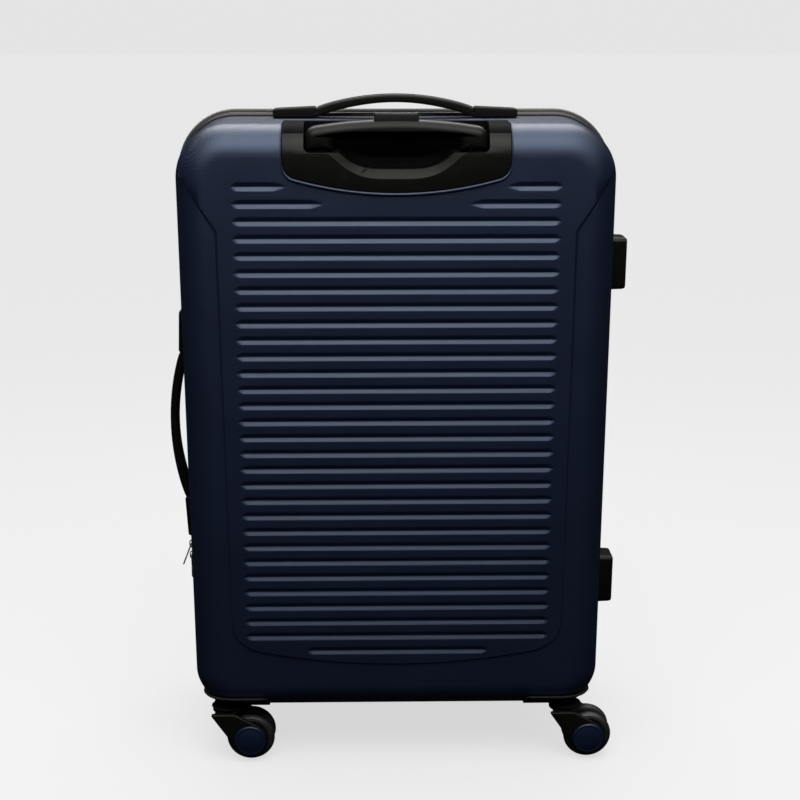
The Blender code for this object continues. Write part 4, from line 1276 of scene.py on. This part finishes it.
# ---------------------------------------------------------------- casters
CASTER_X = 0.1955
CASTER_Y = 0.1115
WHEEL_RADIUS = 0.0275
TRAIL = 0.026
FORK_INNER = 0.0182
FORK_OUTER = 0.0245
BOSS_RADIUS = 0.0195
CROWN_BOTTOM = 0.0562
CROWN_TOP = 0.0597
CROWN_RADIUS = 0.018
COLLAR_BOTTOM = 0.0602
HOUSING_TOP = 0.0805
HOUSING_INNER_X = 0.147
HOUSING_INNER_Y = 0.070
HOUSING_CORNER = 0.007
HOUSING_PROUD = 0.0018
RIM_PROUD = 0.0034
RIM_BAND = (0.0022, 0.0002)     # lower and upper edge of the rim, below the housing's top
HUB_RADIUS = 0.0182
HUB_SEAT_DEPTH = 0.0015
ARM_ROUNDING = 0.0016
STEM_RADIUS = 0.005
STEM_TOP = 0.080
AXLE_RADIUS = 0.0030
AXLE_CHAMFER = 0.0006


def cross(a, b, c):
    """Twice the area of a triangle in X and Z, above 0 when it turns to the left."""
    return (b[0] - a[0]) * (c[1] - a[1]) - (b[1] - a[1]) * (c[0] - a[0])


def outline_hull(points):
    """Convex outline around points in X and Z, in order."""
    ordered = sorted(set(points))
    halves = []
    for run in (ordered, list(reversed(ordered))):
        half = []
        for point in run:
            while len(half) > 1 and cross(half[-2], half[-1], point) <= 1e-12:
                half.pop()
            half.append(point)
        halves.append(half[:-1])
    return halves[0] + halves[1]


def build_housing(node, x, y, end, side):
    """Corner guard with rounded ends, a raised upper rim and a turned collar."""
    plate = solid_half(-HOUSING_PROUD, side)
    plate.name = node + "_moulding"
    inner = CASE_X + end * HOUSING_INNER_X
    outer = CASE_X + end * CLEAR_X
    bend = inner + end * HOUSING_CORNER
    bend_z = HOUSING_TOP - HOUSING_CORNER
    keep = [(inner, 0.0), (inner, bend_z)]
    keep += bezier((inner, bend_z), (inner, HOUSING_TOP), (bend, HOUSING_TOP), 8)[1:]
    keep += [(outer, HOUSING_TOP), (outer, 0.0)]
    low_y, high_y = sorted((side * HOUSING_INNER_Y, side * CLEAR_Y))
    change(plate, prism("keep", keep, low_y, high_y, BLACK), "INTERSECT")
    rim = solid_half(-RIM_PROUD, side)
    low_z, high_z = (HOUSING_TOP - drop for drop in RIM_BAND)
    band = [(bend, low_z), (outer, low_z), (outer, high_z), (bend, high_z)]
    change(rim, prism("band", band, low_y, high_y, BLACK), "INTERSECT")
    change(plate, rim, "UNION")
    change(plate, solid_half(-GAP, side, 0.0))
    profile = ((CROWN_RADIUS - 0.0012, COLLAR_BOTTOM), (CROWN_RADIUS, COLLAR_BOTTOM + 0.0008),
               (CROWN_RADIUS + 0.0012, SHELL_BOTTOM - GAP))
    change(plate, turned("collar", profile, (x, y, 0.0), (0, 0, 1), BLACK), "UNION")
    # The rim band and the top faces take the lighter gloss trim: a real raised rim, with its lighter colour
    # as a painted highlight.
    plate.data.materials.clear()
    plate.data.materials.append(BLACK_DULL)
    plate.data.materials.append(TRIM)
    for polygon in plate.data.polygons:
        polygon.material_index = int(polygon.center.z > HOUSING_TOP - 0.0024)
    shade(plate, 30.0)
    even_normals(plate)
    return dress(plate, node, "black_plastic")


def build_fork(node, x, y, side):
    """Fork with two tapered arms, a round crown and a seat for the hub cap."""
    boss = arc((x + TRAIL, WHEEL_RADIUS), BOSS_RADIUS, -180, 180, 64)
    crown = [(x - CROWN_RADIUS, CROWN_TOP), (x + 0.5 * CROWN_RADIUS, CROWN_TOP),
             (x - CROWN_RADIUS, CROWN_TOP - 0.0020)]
    arm = outline_hull(boss + crown)
    profile = ((0.80 * CROWN_RADIUS, CROWN_BOTTOM - 0.0004), (CROWN_RADIUS, CROWN_TOP - 0.0020),
               (CROWN_RADIUS, CROWN_TOP - 0.0008), (CROWN_RADIUS - 0.0008, CROWN_TOP))
    fork = turned(node + "_moulding", profile, (x, y, 0.0), (0, 0, 1), BLACK)
    reach = 0.80 * CROWN_RADIUS
    bridge = [(x - reach, CROWN_BOTTOM), (x + 0.5 * reach, CROWN_BOTTOM),
              (x + 0.5 * reach, CROWN_TOP), (x - reach, CROWN_TOP)]
    change(fork, prism("bridge", bridge, y - FORK_INNER - 0.002, y + FORK_INNER + 0.002, BLACK), "UNION")
    for arm_side in (-1, 1):
        edges = sorted((y + arm_side * FORK_INNER, y + arm_side * FORK_OUTER))
        blank = prism("arm", arm, edges[0], edges[1], BLACK)
        soften(blank, ARM_ROUNDING, 3, 60.0)
        change(fork, blank, "UNION")
    seat = turned("seat", ((HUB_RADIUS + GAP, FORK_OUTER - HUB_SEAT_DEPTH), (HUB_RADIUS + GAP, 0.04)),
                  (x + TRAIL, y, WHEEL_RADIUS), (0, side, 0), BLACK)
    change(fork, seat)
    profile = ((STEM_RADIUS, CROWN_BOTTOM + 0.001), (STEM_RADIUS, STEM_TOP))
    change(fork, turned("stem", profile, (x, y, 0.0), (0, 0, 1), BLACK, 32), "UNION")
    shade(fork, 35.0)
    return dress(fork, node, "black_plastic")


def build_wheel(node):
    """Wheel with a rounded tread, a lip on each side and a dished web."""
    low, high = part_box(node)
    centre = ((low.x + high.x) / 2.0, (low.y + high.y) / 2.0, WHEEL_RADIUS)
    half = 0.5 * (high.y - low.y)
    bore = 0.0033
    side_profile = [(bore, half - 0.0002), (0.0070, half), (0.0085, half - 0.0022), (0.0190, half - 0.0026),
                    (0.0205, half - 0.0004), (0.0222, half), (0.0248, half - 0.0008), (0.0264, half - 0.0026),
                    (0.0272, half - 0.0044), (WHEEL_RADIUS, 0.0004)]
    profile = side_profile + [(radius, -distance) for radius, distance in reversed(side_profile)]
    wheel = turned(node + "_tyre", profile, centre, (0, 1, 0), TYRE, 72, 30.0, closed=True)
    return dress(wheel, node, "tyre")


def build_hub_cap(node, x, y, side):
    """Domed blue cap with a raised rim and a shallow ring."""
    base = FORK_OUTER
    profile = ((HUB_RADIUS, base - 0.0012), (HUB_RADIUS, base + 0.0010), (HUB_RADIUS - 0.0006, base + 0.0018),
               (HUB_RADIUS - 0.0016, base + 0.0022), (HUB_RADIUS - 0.0024, base + 0.0022),
               (HUB_RADIUS - 0.0030, base + 0.0020), (HUB_RADIUS - 0.0036, base + 0.0021),
               (HUB_RADIUS - 0.0060, base + 0.0028), (HUB_RADIUS - 0.0100, base + 0.0036),
               (HUB_RADIUS - 0.0140, base + 0.0039), (0.0010, base + 0.0040))
    cap = turned(node + "_moulding", profile, (x + TRAIL, y, WHEEL_RADIUS), (0, side, 0), HUB, 72, 50.0)
    return dress(cap, node, "shell")


def build_axle(node, x, y, side):
    """Steel pin with chamfered ends, hidden under the hub cap."""
    start = -0.5 * (FORK_OUTER + FORK_INNER) + GAP
    finish = FORK_OUTER - 0.0020
    narrow = AXLE_RADIUS - AXLE_CHAMFER
    profile = ((narrow, start), (AXLE_RADIUS, start + AXLE_CHAMFER), (AXLE_RADIUS, finish - AXLE_CHAMFER),
               (narrow, finish))
    axle = turned(node + "_pin", profile, (x + TRAIL, y, WHEEL_RADIUS), (0, side, 0), STEEL, 32)
    return dress(axle, node, "steel")


def build_casters():
    for label, side in (("back", BACK), ("front", FRONT)):
        for hand, end in (("left", -1), ("right", 1)):
            prefix = "caster_" + label + "_" + hand
            x = CASE_X + end * CASTER_X
            y = side * CASTER_Y
            build_housing(prefix + "_housing", x, y, end, side)
            build_fork(prefix + "_fork", x, y, side)
            build_hub_cap(prefix + "_hub_cap", x, y, side)
            build_axle(prefix + "_axle", x, y, side)
            for place in ("outer", "inner"):
                build_wheel(prefix + "_wheel_" + place)


# ---------------------------------------------------------------- inside
LINING_CLEARANCE = WALL + 0.0006
LINING_THICKNESS = 0.0012
LINING_EDGE_Y = 0.0200
TRAY_DEPTH = 0.0880             # back of the trolley tray, from Y = 0
BUMP_ROOM = 0.0015              # room between the lining's bumps and what stands under them
SOCKET_RADIUS = 0.0097
SOCKET_TOP = 0.0850
STRAP_MIDDLE_Z = 0.39075
SEAM_STEP = 0.110               # between the lining's sewn lines
SEAM_HALF_WIDTH = 0.0028
SEAM_TUCK = 0.0012
PUCKER = 0.0005
PUCKER_REST = 0.0017            # how far the middle of the puckers lies below the CAD floor
LINING_LIP = 0.003
LINING_FLOOR = 0.0034           # inner floor of the cloth tray below the CAD floor
QUILT_HALF = 0.170
QUILT_HEIGHTS = (0.130, 0.640)
QUILT_CELLS = (68, 196)
STRAP_END_INSET = (0.040, 0.060)    # from the case's outline to the straps' ends, in X and Z
WEBBING_WIDTH = 0.025
WEBBING_HALF_THICKNESS = 0.0006
WEBBING_STEPS = 120
TACK_PLACES = (-0.985, -0.955, 0.955, 0.985)
TACK_HALF = 0.0012
BUCKLE_CORNER = 0.012
BUCKLE_SLOT_INSET = 0.0085
BUCKLE_BAR_INSETS = (0.0090, 0.0050)
BUCKLE_BAR_SHARE = 0.62
DIVIDER_LEVELS = (1.0, 0.985, 0.965, 0.945, 0.925, 0.90, 0.86, 0.80, 0.70, 0.58, 0.44, 0.30, 0.15)
DIVIDER_PIPING_LEVELS = (0.985, 0.945)
DIVIDER_PIPING = 0.0006
DIVIDER_BORDER = 0.93           # share of the panel inside its bound edge
DIVIDER_THICKNESS = 0.0006
DIVIDER_RUCHE = 0.0005


def lining_depth(side):
    """Distance of the lining's floor from Y = 0, read from its CAD box."""
    low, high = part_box("back_lining" if side == BACK else "front_lining")
    return max(abs(low.y), abs(high.y))


def lining_bumps(side):
    """Corners of the boxes the lining climbs over: the trolley tray, or the caster sockets."""
    if side == BACK:
        half = BEZEL_HALF + BUMP_ROOM
        near = (CASE_X - half, TRAY_DEPTH - BUMP_ROOM, BEZEL_BOTTOM - BUMP_ROOM)
        return [(near, (CASE_X + half, CLEAR_Y, CLEAR_Z))]
    reach = SOCKET_RADIUS + BUMP_ROOM
    bumps = []
    for end in (-1, 1):
        x_low, x_high = sorted((CASE_X + end * (CASTER_X - reach), CASE_X + end * CLEAR_X))
        bumps.append(((x_low, CASTER_Y - reach, 0.0), (x_high, CLEAR_Y, SOCKET_TOP + BUMP_ROOM)))
    return bumps


def cut_bumps(tray, side, grow):
    """Cut the boxes that the lining climbs over from a body, each grown by grow."""
    for low, high in lining_bumps(side):
        y_low, y_high = sorted((side * (low[1] - grow), side * high[1]))
        near = (low[0] - grow, y_low, low[2] - grow)
        far = (high[0] + grow, y_high, high[2] + grow)
        change(tray, box("bump", near, far, LINING))


def floor_level(x, z, depth):
    """How deep the lining lies at a place of its floor, with small puckers and sewn lines."""
    pucker = math.sin(x / 0.019 + 1.7 * math.sin(z / 0.033)) * math.sin(z / 0.024 + math.sin(x / 0.027))
    along = (z - STRAP_MIDDLE_Z) % SEAM_STEP
    seam = min(along, SEAM_STEP - along)
    tuck = SEAM_TUCK * math.exp(-(seam / SEAM_HALF_WIDTH) ** 2)
    return depth - PUCKER_REST - PUCKER * pucker + tuck


def tray_rings(side, inset, depth):
    """Rings of the cloth tray from its walls round to its floor."""
    radius = EDGE_RADIUS - LINING_CLEARANCE
    rings = []
    for i in range(EDGE_STEPS + 1):
        angle = 0.5 * math.pi * i / EDGE_STEPS
        pulled = inset + DRAFT + radius * (1.0 - math.cos(angle))
        rings.append(case_ring(pulled, side * (depth - radius + radius * math.sin(angle))))
    return rings


def build_lining(node, side):
    """Cloth tray inside a half: smooth walls, a quilted floor and a rolled lip."""
    depth = lining_depth(side)
    inside = LINING_CLEARANCE + LINING_THICKNESS
    rings = [case_ring(inside, side * LINING_EDGE_Y), case_ring(LINING_CLEARANCE, side * LINING_EDGE_Y)]
    outer = loft(node + "_cloth", rings + tray_rings(side, LINING_CLEARANCE, depth), LINING, 50.0)
    rings = [case_ring(inside, side * (LINING_EDGE_Y - LINING_LIP))]
    inner = loft("inner", rings + tray_rings(side, inside, depth - LINING_FLOOR), LINING, 50.0)
    cut_bumps(outer, side, 0.0)
    cut_bumps(inner, side, LINING_THICKNESS)
    change(outer, inner)
    quilt_floor(outer, side, depth)
    shade(outer, 50.0)
    dress(outer, node, "lining")
    return outer


def quilt_floor(tray, side, depth):
    """Give the tray's upper floor a grid and lay it in puckers between seams."""
    x_count, z_count = QUILT_CELLS
    z_low, z_high = QUILT_HEIGHTS
    columns = [-QUILT_HALF + 2.0 * QUILT_HALF * c / x_count for c in range(x_count + 1)]
    rows = [z_low + (z_high - z_low) * r / z_count for r in range(z_count + 1)]
    patch = grid_patch(columns, rows, lambda x, z: side * floor_level(CASE_X + x, z, depth))
    fill_flat(tray, side * (depth - LINING_FLOOR), [patch])


def build_packing_straps():
    """Crossed webbing straps, sewn at their ends, with bar tacks and a slight wave."""
    low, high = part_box("packing_straps")
    node_y = 0.5 * (low.y + high.y)
    middle = Vector((CASE_X, 0.0, 0.5 * (low.z + high.z)))
    half_x = HALF_WIDTH - STRAP_END_INSET[0]
    half_z = 0.5 * (SHELL_TOP - SHELL_BOTTOM) - STRAP_END_INSET[1]
    pieces = []
    for lean in (-1, 1):
        run = Vector((lean * half_x, 0.0, half_z))
        along = run.normalized()
        across = Vector((-along.z, 0.0, along.x))
        rings = []
        section = rounded_section(0.5 * WEBBING_WIDTH, WEBBING_HALF_THICKNESS, 0.0005, 3)
        for i in range(WEBBING_STEPS + 1):
            t = -1.0 + 2.0 * i / WEBBING_STEPS
            spot = middle + run * t
            lift = 0.0004 * math.sin(9.0 * t + lean) + lean * 0.0002
            rings.append([spot + across * w + Vector((0.0, node_y + lift + h, 0.0)) for w, h in section])
        pieces.append(loft("packing_strap", rings, WEBBING, 40.0))
        section = rounded_section(0.0105, 0.0010, 0.0004, 2)
        for t in TACK_PLACES:
            tack = []
            for shift in (-TACK_HALF, TACK_HALF):
                spot = middle + run * t + along * shift
                tack.append([spot + across * w + Vector((0.0, node_y + h, 0.0)) for w, h in section])
            pieces.append(loft("bar_tack", tack, WEBBING, 40.0))
    straps = joined("packing_straps_webbing", pieces)
    dress(straps, "packing_straps", "lining")
    return straps


def joined(name, pieces):
    """One object made of several."""
    builder = bmesh.new()
    for piece in pieces:
        builder.from_mesh(piece.data)
    mesh = bpy.data.meshes.new(name)
    builder.to_mesh(mesh)
    builder.free()
    mesh.materials.append(pieces[0].data.materials[0])
    made = place_object(name, mesh)
    for piece in pieces:
        bpy.data.objects.remove(piece, do_unlink=True)
    shade(made, 40.0)
    return made


def build_buckle():
    """Side-release buckle: a flat body with rounded corners, an open slot near each side and a bar slot near
    each end.
    """
    low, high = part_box("strap_buckle")
    middle = (low + high) / 2.0
    half_x = 0.5 * (high.x - low.x)
    half_z = 0.5 * (high.z - low.z)
    outline = rounded_section(half_x, half_z, BUCKLE_CORNER, 8)
    body = loft("strap_buckle_body", [[(middle.x + x, y, middle.z + z) for x, z in outline]
                                      for y in (low.y, high.y)], BLACK)
    soften(body, 0.0016, 3, 50.0)
    slot = rounded_section(0.0028, 0.0120, 0.0024, 5)
    near_y = low.y - 0.01
    far_y = high.y + 0.01
    reach = half_x * BUCKLE_BAR_SHARE
    for end in (-1, 1):
        slot_x = middle.x + end * (half_x - BUCKLE_SLOT_INSET)
        rings = [[(slot_x + x, y, middle.z + z) for x, z in slot] for y in (near_y, far_y)]
        change(body, loft("slot", rings, BLACK))
        first, second = (middle.z + end * (half_z - inset) for inset in BUCKLE_BAR_INSETS)
        bar = box("bar", (middle.x - reach, near_y, first), (middle.x + reach, far_y, second), BLACK)
        change(body, bar)
    shade(body, 35.0)
    return dress(body, "strap_buckle", "black_plastic")


def build_divider():
    """Divider: a ruched net panel in a bound frame, with two raised lines of piping near its edge."""
    low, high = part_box("mesh_divider")
    middle_y = 0.5 * (low.y + high.y)
    front = []
    back = []
    for share in DIVIDER_LEVELS:
        piping = DIVIDER_PIPING if share in DIVIDER_PIPING_LEVELS else 0.0
        thickness = (DIVIDER_THICKNESS + piping) * 0.9
        ruche = 0.0 if share > DIVIDER_BORDER else DIVIDER_RUCHE
        near = []
        far = []
        for ring_x, ring_z in case_outline(LINING_CLEARANCE + 0.0004):
            x = CASE_X + (ring_x - CASE_X) * share
            z = STRAP_MIDDLE_Z + (ring_z - STRAP_MIDDLE_Z) * share
            y = middle_y + ruche * math.sin(x / 0.011) * math.sin(z / 0.017)
            near.append((x, y - thickness, z))
            far.append((x, y + thickness, z))
        front.append(far)
        back.append(near)
    net = loft("mesh_divider_panel", back[::-1] + front, MESH_CLOTH, 50.0)
    net.data.materials.append(WEBBING)
    for polygon in net.data.polygons:
        across = abs(polygon.center.x - CASE_X) / HALF_WIDTH
        up = abs(polygon.center.z - STRAP_MIDDLE_Z) / (0.5 * (SHELL_TOP - SHELL_BOTTOM))
        polygon.material_index = int(max(across, up) > DIVIDER_BORDER)
    dress(net, "mesh_divider", "lining")
    return net


def build_inside():
    build_lining("back_lining", BACK)
    build_lining("front_lining", FRONT)
    build_packing_straps()
    build_buckle()
    build_divider()


frame["nodes"]["trolley_foot_bracket"].material_slots[0].material = BLACK_DULL
build_inside()
build_closure()
build_sliders()
build_trolley()
build_handles()
for label in ("upper", "lower"):
    build_foot("side_foot_" + label)
build_casters()


# ---------------------------------------------------------------- studio
def lamp(name, place, aim, size, power):
    """Rectangular area light that looks from place to aim."""
    data = bpy.data.lights.new(name, "AREA")
    data.shape = "RECTANGLE"
    data.size, data.size_y = size
    data.energy = power
    made = place_object(name, data)
    made.location = place
    made.rotation_euler = (Vector(aim) - Vector(place)).to_track_quat("-Z", "Y").to_euler()


SUN_STRENGTH = 0.6
SUN_SOFTNESS = 30.0
SUN_TILT = 8.0
OVERHEAD_PLACE = (0.0, -0.95, 1.55)
OVERHEAD_SIZE = (1.7, 1.0)
OVERHEAD_POWER = 30.0
BACK_PLACE = (0.0, 0.85, 1.70)
BACK_SIZE = (1.4, 0.6)
BACK_POWER = 18.0
SKY_LEVELS = (0.010, 0.04, 2.40)    # below, at and above the horizon
SKY_START = 0.48                # share of the sky ramp at which it begins to brighten
FLOOR_GLOW = 0.665
FLOOR_HALF = 40.0
BACKDROP_LEVEL = 0.78
CAMERA_PLACE = (-0.0251, -1.790, 0.8185)
CAMERA_PITCH = 18.32
CAMERA_YAW = 1.09
CAMERA_LENS = 70.75
CAMERA_SHIFT = 0.175
CAMERA_REACH = 200.0


def sky_light(world):
    """Bright overhead, dim round the horizon and dark below; the camera sees an even backdrop."""
    sky = Nodes(world.node_tree)
    below, level, above = ((value, value, value, 1.0) for value in SKY_LEVELS)
    direction = sky.node("ShaderNodeTexCoord").outputs["Generated"]
    height = sky.node("ShaderNodeSeparateXYZ", Vector=direction).outputs["Z"]
    ramp = sky.node("ShaderNodeValToRGB", Fac=height)
    ramp.color_ramp.elements[0].color = level
    ramp.color_ramp.elements[0].position = SKY_START
    ramp.color_ramp.elements[1].color = above
    light = sky.blend(sky.math("LESS_THAN", height, 0.0), ramp.outputs["Color"], below)
    seen = sky.node("ShaderNodeLightPath").outputs["Is Camera Ray"]
    back = world.node_tree.nodes["Background"]
    backdrop = (BACKDROP_LEVEL, BACKDROP_LEVEL, BACKDROP_LEVEL)
    sky.feed(back.inputs["Color"], sky.blend(seen, light, backdrop))
    sky.feed(back.inputs["Strength"], 1.0)


def build_studio():
    """Plain pale floor, soft light from above and the camera where the photographer stood."""
    paint = Paint("studio_floor", (0.11, 0.11, 0.11), 0.9, specular=0.0,
                  Emission_Color=(1.0, 1.0, 1.0, 1.0), Emission_Strength=FLOOR_GLOW)
    far = FLOOR_HALF
    corners = [(-far, -far, 0), (far, -far, 0), (far, far, 0), (-far, far, 0)]
    floor = new_mesh("studio_floor", corners, [(0, 1, 2, 3)], paint.material)
    floor.visible_glossy = False
    floor.visible_diffuse = False
    world = bpy.data.worlds.new("studio")
    world.use_nodes = True
    sky_light(world)
    bpy.context.scene.world = world
    sun = bpy.data.lights.new("top_light", "SUN")
    sun.energy = SUN_STRENGTH
    sun.angle = math.radians(SUN_SOFTNESS)
    place_object("top_light", sun).rotation_euler = (math.radians(-SUN_TILT), 0.0, 0.0)
    lamp("overhead_box", OVERHEAD_PLACE, (0.0, -FACE_Y, 0.50), OVERHEAD_SIZE, OVERHEAD_POWER)
    lamp("back_box", BACK_PLACE, (0.0, 0.0, SHELL_TOP), BACK_SIZE, BACK_POWER)
    camera = place_object("camera", bpy.data.cameras.new("camera"))
    camera.location = CAMERA_PLACE
    camera.rotation_euler = (math.radians(90.0 - CAMERA_PITCH), 0.0, math.radians(-CAMERA_YAW))
    camera.data.lens = CAMERA_LENS
    camera.data.sensor_width = 36.0
    camera.data.shift_y = CAMERA_SHIFT
    camera.data.clip_end = CAMERA_REACH
    bpy.context.scene.camera = camera
    bpy.context.scene.view_settings.view_transform = "Standard"


build_shell("back_shell", BACK)
build_shell("front_shell", FRONT)
build_studio()
